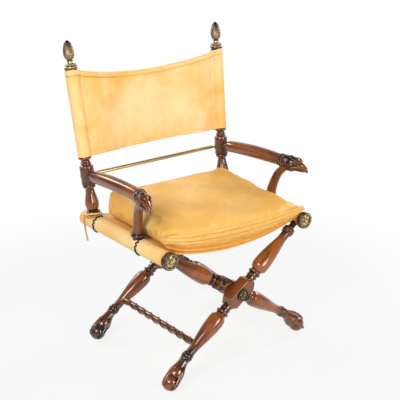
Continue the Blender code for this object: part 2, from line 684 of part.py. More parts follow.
def make_arm(word, side, body):
    """Arm, bird head and curved support, and the mortise cutter for the support's dowel."""
    start, end = arm_ends(side)
    length = (end - start).length
    frame = aim(start, start - end)
    arm = turned(word + "_arm", [
        (0, -0.01),
        (ARM_NECK, -0.01),
        (ARM_NECK, -POST_BLOCK - 0.013),
        (0.80 * ARM_RADIUS, -POST_BLOCK - 0.016),
        (0.97 * ARM_RADIUS, -POST_BLOCK - 0.022),
        (ARM_RADIUS, -POST_BLOCK - 0.028),
        (ARM_RADIUS, -length),
        (0, -length),
    ])
    settle(arm, frame, body)
    block = make_tool(cylinder(word + "_arm_seat", POST_BLOCK + FIT,
                               POST_BLOCK_LOW - 0.03, POST_BLOCK_HIGH + 0.03))
    settle(block, aim(post_point(side, 0), post_direction(side)), body)
    boolean(arm, "DIFFERENCE", block)
    finish_piece(arm, "mahogany")

    head = turned(word + "_arm_head", [
        (0, -length - FIT),
        (0.92 * ARM_COLLAR, -length - FIT),
        (ARM_COLLAR, -length - 0.3 * ARM_COLLAR_LENGTH),
        (ARM_COLLAR, -length - 0.7 * ARM_COLLAR_LENGTH),
        (0.80 * ARM_COLLAR, -length - ARM_COLLAR_LENGTH),
        (0.70 * ARM_COLLAR, -length - ARM_COLLAR_LENGTH - 0.012),
        (0, -length - ARM_COLLAR_LENGTH - 0.012),
    ])
    settle(head, frame, body)
    out = head_frame(side)
    centre = out @ Matrix.Translation((0, 0, SKULL_AHEAD))
    skull = make_tool(ellipsoid(word + "_skull", (SKULL_WIDTH, SKULL_HEIGHT, SKULL_LENGTH)))
    settle(skull, centre, body)
    bend = [Vector((0, 0.10 * SKULL_HEIGHT, SKULL_AHEAD + 0.4 * SKULL_LENGTH)),
            Vector((0, 0.08 * SKULL_HEIGHT, 0.70 * BEAK_REACH)),
            Vector((0, -0.25 * BEAK_DROP, 0.90 * BEAK_REACH)),
            Vector((0, -BEAK_DROP, BEAK_REACH))]
    path = smooth_path(bend, 3)
    widths = [0.0155 - 0.013 * (k / (len(path) - 1)) ** 1.3 for k in range(len(path))]
    beak = make_tool(tube(word + "_beak", path, widths))
    settle(beak, out, body)
    boolean(head, "UNION", skull, beak)
    finish_piece(head, "mahogany")

    foot = Vector((side * HALF_SPACING, SUPPORT_Y, COVER_TOP))
    top = centre @ Vector((0, -0.5 * SKULL_HEIGHT, 0.05 * SKULL_LENGTH))
    rise = top - foot
    path = smooth_path([foot, foot + Vector((0, 0, 0.020)),
                        foot + Vector((0.12 * rise.x, 0.10 * rise.y, 0.40 * rise.z)),
                        foot + Vector((0.48 * rise.x, 0.42 * rise.y, 0.75 * rise.z)), top], 2)
    widths = [SUPPORT_FOOT + (SUPPORT_TOP - SUPPORT_FOOT) * (k / (len(path) - 1)) ** 1.4
              for k in range(len(path))]
    support = tube(word + "_arm_support", path, widths, 3)
    settle(support, Matrix(), body)
    collar = make_tool(turned(word + "_support_collar", [
        (0, 0.015), (0.85 * SUPPORT_COLLAR, 0.015), (SUPPORT_COLLAR, 0.011), (SUPPORT_COLLAR, 0.005),
        (1.03 * SUPPORT_FOOT, 0.002), (1.03 * SUPPORT_FOOT, -COVER_RADIUS), (0, -COVER_RADIUS)]))
    settle(collar, Matrix.Translation(foot), body)
    saddle = make_tool(cylinder(word + "_support_saddle", COVER_RADIUS + FIT, -0.05, 0.05, MANY_SIDES))
    settle(saddle, aim((foot.x, foot.y, RAIL_HEIGHT), (0, 1, 0), (0, 0, 1)), body)
    hollow = make_tool(ellipsoid(word + "_support_hollow",
                                 (SKULL_WIDTH + FIT, SKULL_HEIGHT + FIT, SKULL_LENGTH + FIT)))
    settle(hollow, centre, body)
    dowel = make_tool(cylinder(word + "_support_dowel", DOWEL_RADIUS, -DOWEL_LENGTH, 0.004))
    settle(dowel, Matrix.Translation(foot), body)
    boolean(support, "UNION", collar)
    boolean(support, "DIFFERENCE", saddle, hollow)
    boolean(support, "UNION", dowel)
    finish_piece(support, "mahogany")
    mortise = make_tool(cylinder(word + "_support_mortise", DOWEL_RADIUS + FIT, -DOWEL_LENGTH - FIT, 0.03))
    settle(mortise, Matrix.Translation(foot), body)
    return mortise


def make_rail(word, side, body, mortises):
    """Rail with its pivot rod, leather cover, front cap and rosette."""
    frame = aim((side * HALF_SPACING, 0, RAIL_HEIGHT), (0, 1, 0), (0, 0, 1))
    inset = 0 if side > 0 else LEG_PITCH
    slots = []
    for face, plane, splay in FRAMES.values():
        pin_y = leg_y(plane - inset, splay, -UPPER_LENGTH / cos(splay))
        slots.append(leg_slot(f"{word}_slot_{face}", side, body, face * pin_y))
    rail = turned(word + "_rail", ring_profile(PIVOT_ROD_RADIUS + FIT, RAIL_RADIUS, -RAIL_FRONT, RAIL_REAR),
                  closed=True)
    wrap = ring_profile(COVER_INNER, COVER_RADIUS, -RAIL_FRONT, RAIL_REAR + RAIL_LEATHER)
    cover = turned(word + "_rail_cover", wrap, MANY_SIDES, closed=True)
    for piece, finish in ((rail, "mahogany"), (cover, "leather")):
        settle(piece, frame, body)
        boolean(piece, "DIFFERENCE", *slots, *mortises)
        finish_piece(piece, finish)
    rod = cylinder(word + "_pivot_rod", PIVOT_ROD_RADIUS, -RAIL_FRONT, REAR_PLANE + EYE_WIDTH)
    settle(rod, frame, body)
    finish_piece(rod, "steel")
    cap_frame = aim((side * HALF_SPACING, -RAIL_FRONT - FIT, RAIL_HEIGHT), (0, -1, 0), (0, 0, 1))
    recess = ROSETTE_RADIUS + FIT
    floor = 0.78 * CAP_LENGTH
    cap = turned(word + "_rail_cap", [
        (0, floor),
        (recess, floor),
        (recess, CAP_LENGTH),
        (0.5 * (recess + CAP_RADIUS), CAP_LENGTH),
        (0.97 * CAP_RADIUS, 0.88 * CAP_LENGTH),
        (0.97 * CAP_RADIUS, 0.72 * CAP_LENGTH),
        (0.90 * CAP_RADIUS, 0.62 * CAP_LENGTH),
        (CAP_RADIUS, 0.46 * CAP_LENGTH),
        (CAP_RADIUS, 0.24 * CAP_LENGTH),
        (0.92 * CAP_RADIUS, 0),
        (0, 0),
    ])
    settle(cap, cap_frame, body)
    finish_piece(cap, "mahogany")
    rosette = turned(word + "_rail_rosette", rosette_profile(ROSETTE_RADIUS, floor + FIT, ROSETTE_HEIGHT))
    settle(rosette, cap_frame, body)
    finish_piece(rosette, "brass")


def rail_clearance(name, side, body):
    """Cutter along a rail that keeps the seat sling off its leather cover."""
    cutter = make_tool(cylinder(name, COVER_RADIUS + FIT, -2 * RAIL_FRONT, 2 * RAIL_REAR, MANY_SIDES))
    settle(cutter, aim((side * HALF_SPACING, 0, RAIL_HEIGHT), (0, 1, 0), (0, 0, 1)), body)
    return cutter


def seat_height(x):
    """Top of the sagging seat sling at a distance from the middle."""
    return SEAM_Z - SEAT_SAG * (1 - (x / SEAM_X) ** 2)


def make_sheet(name, columns, rows, place, thickness):
    """Leather sheet from a grid whose points are placed by a rule, thickened to one side."""
    bm = bmesh.new()
    bmesh.ops.create_grid(bm, x_segments=columns, y_segments=rows, size=1)
    for vert in bm.verts:
        vert.co = place(vert.co.x, vert.co.y)
    mesh = bpy.data.meshes.new(name)
    bm.to_mesh(mesh)
    bm.free()
    sheet = bpy.data.objects.new(name, mesh)
    solid = sheet.modifiers.new("leather", "SOLIDIFY")
    solid.thickness = thickness
    solid.offset = -1
    solid.use_even_offset = True
    return sheet


def make_seat_sling():
    """Seat leather hung between the two rail covers."""
    edge = HALF_SPACING - 0.5 * COVER_RADIUS
    middle = (SEAT_REAR - SEAT_FRONT) / 2
    half = (SEAT_REAR + SEAT_FRONT) / 2

    def place(a, b):
        return Vector((a * edge, middle + b * half, seat_height(a * edge)))

    sling = make_sheet("seat_sling", 20, 4, place, SLING_THICKNESS)
    settle(sling, Matrix(), "left_side")
    boolean(sling, "DIFFERENCE", *[rail_clearance(f"seat_clearance_{side}", side, "left_side")
                                   for side in (-1, 1)])
    finish_piece(sling, "leather")


def make_back_sling():
    """Back leather hung between the two post sleeves, with a sagging top edge."""
    def place(a, b):
        low = SLING_LOW + 0.002
        top = SLING_HIGH - 0.003 - BACK_SAG * (1 - a * a)
        point = post_point(1, low + (top - low) * (b + 1) / 2, BACK_BOW * (1 - a * a))
        point.x *= a
        return point

    sling = make_sheet("back_sling", 16, 4, place, SLING_THICKNESS)
    settle(sling, Matrix(), "left_side")
    for side in (-1, 1):
        cutter = make_tool(cylinder(f"back_clearance_{side}", SLEEVE_RADIUS + FIT,
                                    SLING_LOW - 0.1, SLING_HIGH + 0.1))
        settle(cutter, aim(post_point(side, 0), post_direction(side)), "left_side")
        boolean(sling, "DIFFERENCE", cutter)
    finish_piece(sling, "leather")


def make_cushion():
    """Loose boxed cushion: crowned top, drawn-in sides, and a bottom that lies in the sling.

    The cage dips into the sling, because the smoothed surface lies inside it.
    """
    columns = 5
    bm = bmesh.new()
    bmesh.ops.create_cube(bm, size=2)
    bmesh.ops.subdivide_edges(bm, edges=bm.edges, cuts=columns - 1, use_grid_fill=True)
    turn = Matrix.Rotation(CUSHION_TURN, 3, "Z")
    for vert in bm.verts:
        a, b, c = vert.co
        rim = (1 - a ** 4) * (1 - b ** 4)
        bulge = 1 - 0.03 * c * c
        half = CUSHION_WAIST + (CUSHION_CORNER - CUSHION_WAIST) * b * b
        x = a * half * (1 - CUSHION_TAPER * (1 + b) / 2)
        y = CUSHION_MIDDLE + b * CUSHION_DEPTH / 2 * (1 - CUSHION_FRONT_DRAW * (1 - a * a))
        x *= bulge
        spot = turn @ Vector((x, y, 0))
        low = seat_height(min(abs(spot.x), SEAM_X)) - CUSHION_SINK + 0.16 * max(0, abs(spot.x) - 0.9 * SEAM_X)
        low += 0.010 * (a * a) ** 4
        edge = SEAM_Z + CUSHION_FRONT_EDGE + (CUSHION_REAR_EDGE - CUSHION_FRONT_EDGE) * (b + 1) / 2
        edge -= 0.016 * (1 - a * a) * (1 - b) / 2
        high = edge + CUSHION_CROWN * rim
        vert.co = (spot.x, spot.y, low + (high - low) * (c + 1) / 2)
    cushion = from_bmesh("seat_cushion", bm)
    soft = cushion.modifiers.new("soft", "SUBSURF")
    soft.levels = 1
    soft.render_levels = 1
    settle(cushion, Matrix(), "cushion")
    finish_piece(cushion, "cushion_leather")


def make_rod():
    """Brass rod with an eye on the right stud and an open hook on the left one."""
    middle = (post_point(-1, ROD_AT, ROD_OFFSET) + post_point(1, ROD_AT, ROD_OFFSET)) / 2
    half = post_point(1, ROD_AT).x
    shank = half - STUD_FLANGE - 4 * FIT
    rod = cylinder("back_rod", ROD_RADIUS, -shank, shank)
    settle(rod, aim(middle, (1, 0, 0)), "rod")
    rounds = []
    for side in (-1, 1):
        disc = make_tool(cylinder(f"rod_end_{side}", ROD_EYE, -ROD_EYE_THICKNESS / 2, ROD_EYE_THICKNESS / 2))
        settle(disc, aim(middle + Vector((side * half, 0, 0)), POST_BACK, (1, 0, 0)), "rod")
        rounds.append(disc)
    boolean(rod, "UNION", *rounds)
    bore = make_tool(cylinder("rod_eye_bore", STUD_RADIUS + FIT, -0.02, 0.02))
    settle(bore, aim(middle + Vector((half, 0, 0)), POST_BACK, (1, 0, 0)), "rod")
    seat = make_tool(cylinder("rod_hook_bore", STUD_RADIUS + FIT, -0.02, 0.02))
    settle(seat, aim(middle - Vector((half, 0, 0)), POST_BACK, (1, 0, 0)), "rod")
    width = 2 * (STUD_RADIUS + FIT) + HOOK_RELIEF
    mouth = make_tool(box("rod_hook_mouth", (width, 0.04, 2 * ROD_EYE)))
    down = -post_direction(0)
    centre = middle + Vector((-half + HOOK_RELIEF / 2, 0, 0)) + down * ROD_EYE
    settle(mouth, aim(centre, -down), "rod")
    boolean(rod, "DIFFERENCE", bore, seat, mouth)
    finish_piece(rod, "brass")


def make_lace():
    """Lace across the left post's foot, with a knot and a tail down the rail's outer side."""
    centre = Vector((-HALF_SPACING, POST_Y, RAIL_HEIGHT))
    around = COVER_RADIUS + LACE_RADIUS + 3 * FIT

    def on_rail(angle, y):
        return centre + Vector((-around * sin(angle), y, around * cos(angle)))

    loop = smooth_path([on_rail(radians(52), 0.016), on_rail(radians(40), -0.012),
                        on_rail(radians(18), -0.029), on_rail(radians(-14), -0.031),
                        on_rail(radians(-34), -0.026)], 3)
    band = tube("lace_loop", loop, [LACE_RADIUS] * len(loop), 1)
    settle(band, Matrix(), "left_side")
    knot = make_tool(ellipsoid("lace_knot", (KNOT_RADIUS,) * 3))
    away = (COVER_RADIUS + KNOT_RADIUS + FIT) / around
    spot = on_rail(radians(52), 0.016) - centre
    knot_at = centre + Vector((spot.x * away, spot.y, spot.z * away))
    settle(knot, Matrix.Translation(knot_at), "left_side")
    boolean(band, "UNION", knot)
    finish_piece(band, "leather")

    start = knot_at + Vector((-0.45, 0.05, -0.89)).normalized() * (KNOT_RADIUS + 3 * FIT)
    side_x = -HALF_SPACING - around
    drop = start.z - TAIL_LENGTH
    tail = smooth_path([start, Vector((side_x, start.y - 0.003, RAIL_HEIGHT + 0.004)),
                        Vector((side_x, start.y - 0.010, (RAIL_HEIGHT + drop) / 2)),
                        Vector((side_x, start.y - 0.021, drop))], 4)
    strand = tube("lace_tail", tail, [LACE_RADIUS] * len(tail), 1)
    settle(strand, Matrix(), "left_side")
    finish_piece(strand, "leather")


def make_bodies():
    """Empties on the joint axes: hubs, rail axes, rod stud and cushion."""
    make_body("left_side", (-HALF_SPACING, 0, RAIL_HEIGHT))
    make_body("inner_legs", (-HALF_SPACING, 0, RAIL_HEIGHT), "left_side")
    make_body("outer_legs", (0, 0, HUB_HEIGHT), "inner_legs")
    make_body("right_side", (HALF_SPACING, 0, RAIL_HEIGHT), "outer_legs")
    make_body("rod", post_point(1, ROD_AT, ROD_OFFSET), "right_side")
    make_body("cushion", (0, CUSHION_MIDDLE, SEAM_Z), "left_side")


def main():
    """Model the whole chair."""
    clear_scene()
    make_material("mahogany", (0.165, 0.048, 0.020), 0.28)
    make_material("leather", (0.800, 0.500, 0.175), 0.55)
    make_material("cushion_leather", (0.800, 0.480, 0.180), 0.55)
    make_material("brass", (0.520, 0.400, 0.170), 0.36, 1.0)
    make_material("steel", (0.420, 0.420, 0.430), 0.35, 1.0)
    make_bodies()
    for word, (face, plane, splay) in FRAMES.items():
        make_pivot(word, face, plane)
        make_leg(f"outer_{word}_leg", "outer_legs", 1, face, plane, splay)
        make_leg(f"inner_{word}_leg", "inner_legs", -1, face, plane - LEG_PITCH, splay)
    make_stretcher("outer_stretcher", "outer_legs", 1)
    make_stretcher("inner_stretcher", "inner_legs", -1)
    for word, side, body in (("left", -1, "left_side"), ("right", 1, "right_side")):
        mortises = [make_post(word, side, body), make_arm(word, side, body)]
        make_rail(word, side, body, mortises)
    make_seat_sling()
    make_back_sling()
    make_cushion()
    make_rod()
    make_lace()


main()
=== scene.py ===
"""Looks of a folding directors chair: turned mahogany, tan leather and antique brass.

Every piece is made in the hubs' frame, in metres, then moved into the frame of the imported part
and hung on its body.
"""

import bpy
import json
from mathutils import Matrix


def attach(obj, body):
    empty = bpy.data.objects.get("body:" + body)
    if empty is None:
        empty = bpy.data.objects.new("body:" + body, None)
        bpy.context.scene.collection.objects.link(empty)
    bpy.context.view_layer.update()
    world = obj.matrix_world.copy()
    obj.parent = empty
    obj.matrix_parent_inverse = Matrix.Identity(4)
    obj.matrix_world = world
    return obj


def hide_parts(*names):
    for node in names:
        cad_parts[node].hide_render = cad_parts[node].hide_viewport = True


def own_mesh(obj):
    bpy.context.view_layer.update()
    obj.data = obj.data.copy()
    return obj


bl_info = {
    "name": "Directors chair",
    "version": (1, 0, 0),
    "blender": (4, 5, 0),
    "location": "View3D > Sidebar > Chair",
    "description": "Makes the visible pieces of a folding directors chair",
    "category": "Object",
}

import json
from math import asin, atan2, cos, hypot, pi, radians, sin, tan

import bmesh
import bpy
import numpy as np
from mathutils import Matrix, Vector

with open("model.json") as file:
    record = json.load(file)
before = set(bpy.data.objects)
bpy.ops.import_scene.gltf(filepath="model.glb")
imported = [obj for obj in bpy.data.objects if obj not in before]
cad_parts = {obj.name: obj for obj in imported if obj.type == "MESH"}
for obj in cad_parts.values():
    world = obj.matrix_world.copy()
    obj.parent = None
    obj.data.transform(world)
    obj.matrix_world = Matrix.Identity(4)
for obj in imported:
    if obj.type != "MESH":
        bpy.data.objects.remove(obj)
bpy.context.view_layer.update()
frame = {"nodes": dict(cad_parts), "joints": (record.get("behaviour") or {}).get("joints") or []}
JOINTS = {joint["name"]: joint for joint in frame["joints"]}

# Gap between pieces that touch, and distance within which points are one
FIT = 0.0003
MERGE_DISTANCE = 0.000002

# The two sides, as words and as signs of X
SIDES = (("left", -1), ("right", 1))

# Places of the joints: the left rail's axis and the hub
LEFT_PIN = Vector(JOINTS["fold"]["pos_m"])
HUB_PIN = Vector(JOINTS["outer_fold"]["pos_m"])
HALF_SPACING = -LEFT_PIN.x
RAIL_HEIGHT = LEFT_PIN.z
HUB_HEIGHT = HUB_PIN.z
TO_ROW = Matrix.Translation((0, HUB_PIN.y, 0))
FOLD_ANGLE = radians(JOINTS["fold"]["range_deg"][1])

# Seat rails, their caps and rosettes
RAIL_FRONT = 0.177
RAIL_REAR = 0.272
COVER_RADIUS = 0.0255
COVER_LEATHER = 0.003
COVER_TOP = RAIL_HEIGHT + COVER_RADIUS
CAP_LENGTH = 0.018
CAP_RADIUS = 0.0285
ROSETTE_RADIUS = 0.0238
ROSETTE_HEIGHT = 0.007

# Scissor frames
FRONT_PLANE = 0.180
REAR_PLANE = 0.211
LEG_PITCH = 0.046
FRONT_SPLAY = radians(3.5)
REAR_SPLAY = radians(0)
FRAMES = {"front": (-1, FRONT_PLANE, FRONT_SPLAY), "rear": (1, REAR_PLANE, REAR_SPLAY)}
REST_SLOPE = atan2(RAIL_HEIGHT - HUB_HEIGHT, HALF_SPACING)
FOLDED_SLOPE = REST_SLOPE + FOLD_ANGLE
UPPER_LENGTH = hypot(HALF_SPACING, RAIL_HEIGHT - HUB_HEIGHT)
BLOCK_SIZE = Vector((0.052, 0.042, 0.116))
BLOCK_CHAMFER = 0.017
INNER_BLOCK_SHARE = 0.66
HUB_ROSETTE_RADIUS = 0.0195
HUB_ROSETTE_HEIGHT = 0.009
EYE_RADIUS = 0.0125
EYE_WIDTH = 0.025
EYE_BORE = 0.0043
LEG_NECK = 0.0105
LEG_WAIST = 0.0146
LEG_COLLAR = 0.0205
LEG_RING = 0.0208
UPPER_BULB = 0.0275
LOWER_BULB = 0.0265
BULB_OFFSET = 0.061
COLLAR_DROP = 0.058
ANKLE_AT = 0.262
ANKLE_COLLAR = 0.0185
FOOT_SPREAD = 0.5668
CLAW_BALL = 0.0258
CLAW_HEIGHT = 0.0262
STRETCHER_AT = 0.214
STRETCHER_RADIUS = 0.0115
STRETCHER_HOLLOW = 0.0096
STRETCHER_TURNS = 4.6
STRETCHER_RIDGE = 0.0008

# Carved drums at the ends of the inner hub blocks
DRUM_RADIUS = 0.0203
DRUM_LOW = 0.0385
DRUM_LENGTH = 0.0215
DRUM_RING = 0.0208
DRUM_RINGS = ((0.0355, 0.0395), (0.0595, 0.0640))
GADROONS = 10
GADROON_DEPTH = 0.085
GADROON_SLANT = 1.5

# Back posts
POST_Y = 0.228
POST_RAKE = radians(8.1)
POST_SPLAY = radians(2.4)
POST_BLOCK = 0.0225
POST_BELLY = 0.0222
POST_COLLAR = 0.0235
POST_SHAFT = 0.018
SLING_LOW = 0.189
SLING_HIGH = 0.467
SLEEVE_RADIUS = 0.0213
CROWN_LOW = 0.473
CROWN_HIGH = 0.492
CROWN_RADIUS = 0.0225
CONE_LOW = 0.501
CONE_HEIGHT = 0.057
CONE_RADIUS = 0.0187
CONE_CORE = 0.86
CONE_ROWS = 14
SCALES_AROUND = 13
SCALE_LENGTH = 0.0082
SCALE_RISE = 0.0026
CROWN_LEAVES = 8
LEAF_LENGTH = 0.0175
LEAF_WIDTH = 0.0145
LEAF_RISE = 0.0050
POST_REEDS = 12
REED_DEPTH = 0.030
POST_BACK = Vector((0, cos(POST_RAKE), -sin(POST_RAKE)))

# Arms, bird heads and supports
ARM_AT = 0.130
ARM_RADIUS = 0.020
ARM_NECK = 0.0125
ARM_FRONT = 0.028
ARM_RISE = 0.014
ARM_FLARE = 0.008
ARM_BOW = 0.005
ARM_COLLAR = 0.0225
ARM_COLLAR_LENGTH = 0.017
HEAD_TURN = radians(14)
HEAD_AHEAD = 0.026
FEATHER_PITCH = 0.0078
FEATHERS_AROUND = 13
THROAT = Vector((0, -0.0135, 0.034))
SUPPORT_Y = -0.0255
SUPPORT_FOOT = 0.0175
SUPPORT_TOP = 0.0115
SUPPORT_COLLAR = 0.0235

# Black lacing round the rails: where its rows are, angles of their ends, lean and half length of a stitch
LACING_ROWS = (SUPPORT_Y - 0.021, POST_Y - 0.0370)
LACING_ENDS = (radians(112), radians(-66))
LACING_LEAN = 0.55
LACING_HALF = 0.0056

# Brass rod behind the posts
ROD_AT = 0.1225
ROD_RADIUS = 0.006
ROD_EYE = 0.0115
ROD_BORE = 0.0043
ROD_OFFSET = 0.0301
STUD_FLANGE = 0.008

# Slings and cushion
SLING_THICKNESS = 0.003
SEAT_SAG = 0.039
SEAT_FRONT = 0.176
SEAT_REAR = 0.262
SEAT_SEAM = radians(40)
BACK_SAG = 0.033
BACK_BOW = 0.012
FLAP_FRONT = 0.0120
PANEL_SHARE = 0.915
SEAM_X = HALF_SPACING - COVER_RADIUS * cos(SEAT_SEAM)
SEAM_Z = RAIL_HEIGHT + COVER_RADIUS * sin(SEAT_SEAM)
CUSHION_CORNER = HALF_SPACING - 0.005
CUSHION_WAIST = HALF_SPACING - SUPPORT_COLLAR - 0.004
CUSHION_DEPTH = 0.408
CUSHION_MIDDLE = 0.011
CUSHION_TAPER = 0.04
CUSHION_TURN = radians(-3)
CUSHION_FRONT_EDGE = 0.044
CUSHION_REAR_EDGE = 0.078
CUSHION_CROWN = 0.016
CUSHION_FRONT_DRAW = 0.030
CUSHION_SEAM_GROOVE = 0.0022
CUSHION_FRONT_SAG = 0.016
CUSHION_CORNER_LIFT = 0.006
CUSHION_TILT = 0.006
CUSHION_SIDE_LIFT = 0.008
CUSHION_UNDERCUT = 0.030
SLING_EDGE_ROUND = 0.0022
BACK_STITCH_INSET = 0.003
SEAT_STITCH_INSET = 0.011

# Leather lace
LACE_RADIUS = 0.0022
KNOT_RADIUS = 0.0048
KNOT_TURN = 0.0011
KNOT_STRAND = 0.0017
TAIL_LENGTH = 0.074

# Painted shade: how much darker the wood of each piece is painted, for the shade it stands in
PIECE_SHADE = {"hub": 0.016, "foot": 0.013, "rear leg": 0.012, "stretcher": 0.022, "cap": 0.020, "post": 0.012,
        "arm": 0.006, "head": 0.016, "support": 0.018}

# How hollow plain brass counts as, for its patina: rosettes' ground, pinecones, their stems and the rod
ROSETTE_PATINA = 0.08
CONE_PATINA = 0.16
STEM_PATINA = -0.02
ROD_PATINA = -0.09

# Sharpest turn between faces that still look smooth
SHARP_ANGLE = radians(38)

# Camera at the photograph's place
CAMERA_PLACE = (-1.7121, -2.2145, 1.4906)
CAMERA_TURN = (pi / 2 - 0.3462, 0, -0.6644)
CAMERA_LENS = 82.78
CAMERA_SENSOR = 36

# Studio: direction of the backdrop, level of the room's light and of its dim side
BACKDROP = (0.60, 0.78, -0.15)
STUDIO_LIGHT = 0.22
STUDIO_DIM = 0.06
WHITE = (1, 1, 1, 1)

# Floor: half size, colour and how clear it is
FLOOR_HALF = 20
FLOOR_COLOUR = (0.62, 0.615, 0.61, 1)
FLOOR_CLEAR = 0.82

# Lamps: name, place, target, width and power in watts
LAMPS = (
    ("key", (-2.5, -1.3, 2.2), (0, 0, 0.45), 1.3, 88),
    ("front", (0.5, -3.0, 1.35), (0, 0, 0.40), 1.0, 52),
    ("right", (2.6, 0.2, 1.8), (0, 0, 0.45), 1.0, 44),
    ("rear", (-0.6, 2.8, 2.4), (0, 0, 0.5), 1.2, 42),
)


def length_setting(name, description, default):
    """Size that a user may change."""
    return bpy.props.FloatProperty(name=name, description=description, default=default, min=0, unit="LENGTH",
                                   precision=5)


def colour_setting(name, description, default):
    """Colour that a user may change."""
    return bpy.props.FloatVectorProperty(name=name, description=description, default=default, size=3, min=0,
                                         max=1, subtype="COLOR")


class ChairSizes(bpy.types.PropertyGroup):
    """Sizes of the small work on wood, leather and brass."""

    top_hem: length_setting("Top hem", "Width of the hem along the back's top edge", 0.018)
    low_hem: length_setting("Lower hem", "Width of the hem along the back's lower edge", 0.013)
    stitch_pitch: length_setting("Stitch pitch", "Distance between stitches in the leather", 0.0042)
    stitch_radius: length_setting("Stitch radius", "Half thickness of a stitch", 0.00045)
    welt_radius: length_setting("Welt radius", "Half thickness of the cushion's piped seam", 0.0027)
    lacing_pitch: length_setting("Lacing pitch", "Distance between black stitches on the rails", 0.0062)
    feather_depth: length_setting("Feather depth", "Depth of the feathers carved on the heads", 0.0019)
    cushion_swell: length_setting("Cushion swell", "Most that the cushion's leather may swell", 0.007)
    carving_grain: length_setting("Carving grain", "Fineness of the carved heads and feet", 0.00105)


class ChairColours(bpy.types.PropertyGroup):
    """Colours of the chair's finishes."""

    leather_pale: colour_setting("Pale leather", "Leather where it is worn", (0.87, 0.635, 0.310))
    leather_deep: colour_setting("Deep leather", "Leather at seams and edges", (0.775, 0.415, 0.080))
    leather_stain: colour_setting("Stained leather", "Stains on the leather", (0.68, 0.365, 0.080))
    # This colour paints the shade in seam creases and stitch grooves, and is also the own dark colour of the
    # lace and of the rail covers' ends.
    dark_leather_and_seam_shade: colour_setting("Leather seam", "Leather in the crease of a seam", (0.42, 0.185, 0.040))
    wood_light: colour_setting("Light mahogany", "Open wood between the grain", (0.205, 0.051, 0.0082))
    # Dark mahogany is the colour of the grain, and also of the painted shade in hollows and round recesses.
    wood_grain_and_shade: colour_setting("Dark mahogany", "Grain and hollows of the wood", (0.013, 0.0038, 0.0018))
    # Painted light: the paler orange of open convex wood where light falls on it.
    wood_painted_light: colour_setting("Bare mahogany", "Open wood in the palest clouds", (0.36, 0.098, 0.014))
    wood_worn: colour_setting("Worn mahogany", "Wood on worn edges", (0.27, 0.072, 0.013))
    brass_bright: colour_setting("Worn brass", "Brass on worn ridges", (0.60, 0.48, 0.265))
    brass_brown: colour_setting("Browned brass", "Ridges of the hubs and pinecones", (0.285, 0.215, 0.125))
    brass_rod: colour_setting("Rod brass", "Polished brass of the rod", (0.70, 0.51, 0.24))
    brass_dark: colour_setting("Dark brass", "Patina in the brass hollows", (0.030, 0.020, 0.012))
    steel: colour_setting("Steel", "Plain steel of the pivot rods and bolts", (0.42, 0.42, 0.43))
    steel_marks: colour_setting("Steel marks", "Turning marks in the steel", (0.22, 0.21, 0.20))
    thread: colour_setting("Thread", "Thread of the leather's seams", (0.62, 0.40, 0.16))
    lacing: colour_setting("Lacing", "Black lacing of the rail covers", (0.012, 0.010, 0.009))


class Value:
    """Socket of a material, on which arithmetic adds Math nodes."""

    def __init__(self, shading, socket):
        self.shading = shading
        self.socket = socket

    def join(self, operation, first, second):
        """Value of a Math node with two operands."""
        return self.shading.node("ShaderNodeMath", {"operation": operation}, {0: first, 1: second})

    def __add__(self, other):
        return self.join("ADD", self, other)

    def __radd__(self, other):
        return self.join("ADD", other, self)

    def __sub__(self, other):
        return self.join("SUBTRACT", self, other)

    def __rsub__(self, other):
        return self.join("SUBTRACT", other, self)

    def __mul__(self, other):
        return self.join("MULTIPLY", self, other)

    def __rmul__(self, other):
        return self.join("MULTIPLY", other, self)


class Shading:
    """Node tree of a material or a world, written as expressions."""

    def __init__(self, tree):
        self.tree = tree

    def node(self, kind, settings, inputs, output=0):
        """Output of a new node: settings first, then values or links of its sockets."""
        made = self.tree.nodes.new(kind)
        for name, value in settings.items():
            setattr(made, name, value)
        for key, value in inputs.items():
            if isinstance(value, Value):
                self.tree.links.new(value.socket, made.inputs[key])
            else:
                made.inputs[key].default_value = value
        return Value(self, made.outputs[output])

    def ray(self, kind):
        """1 for rays of a kind, 0 for others."""
        return self.node("ShaderNodeLightPath", {}, {}, kind)

    def attribute(self, name, output):
        """Value stored on the piece's own mesh."""
        return self.node("ShaderNodeAttribute", {"attribute_name": name}, {}, output)

    def place(self):
        """Place on the piece, in metres."""
        return self.node("ShaderNodeTexCoord", {}, {}, "Object")

    def stretched(self, vector, scale):
        """Place with each axis scaled."""
        return self.node("ShaderNodeVectorMath", {"operation": "MULTIPLY"}, {0: vector, 1: scale})

    def noise(self, vector, scale, detail=3.0, roughness=0.5, distortion=0.0):
        """Cloudy pattern between 0 and 1."""
        return self.node("ShaderNodeTexNoise", {}, {"Vector": vector, "Scale": scale, "Detail": detail,
                                                    "Roughness": roughness, "Distortion": distortion}, "Fac")

    def cells(self, vector, scale):
        """Distance to the nearest of scattered points, for pores."""
        return self.node("ShaderNodeTexVoronoi", {"feature": "F1"}, {"Vector": vector, "Scale": scale},
                         "Distance")

    def ramp(self, value, low, high, start=0.0, end=1.0):
        """Smooth step of a value from start, below low, to end, above high."""
        return self.node("ShaderNodeMapRange", {"interpolation_type": "SMOOTHSTEP"},
                         {"Value": value, "From Min": low, "From Max": high, "To Min": start, "To Max": end})

    def mix(self, share, first, second):
        """Colour between two colours."""
        ends = [end if isinstance(end, Value) else (*end, 1) for end in (first, second)]
        return self.node("ShaderNodeMix", {"data_type": "RGBA"}, {0: share, 6: ends[0], 7: ends[1]}, 2)

    def show(self, output, shader):
        """Link a shader to the tree's output node."""
        self.tree.links.new(shader.socket, self.tree.nodes[output].inputs["Surface"])


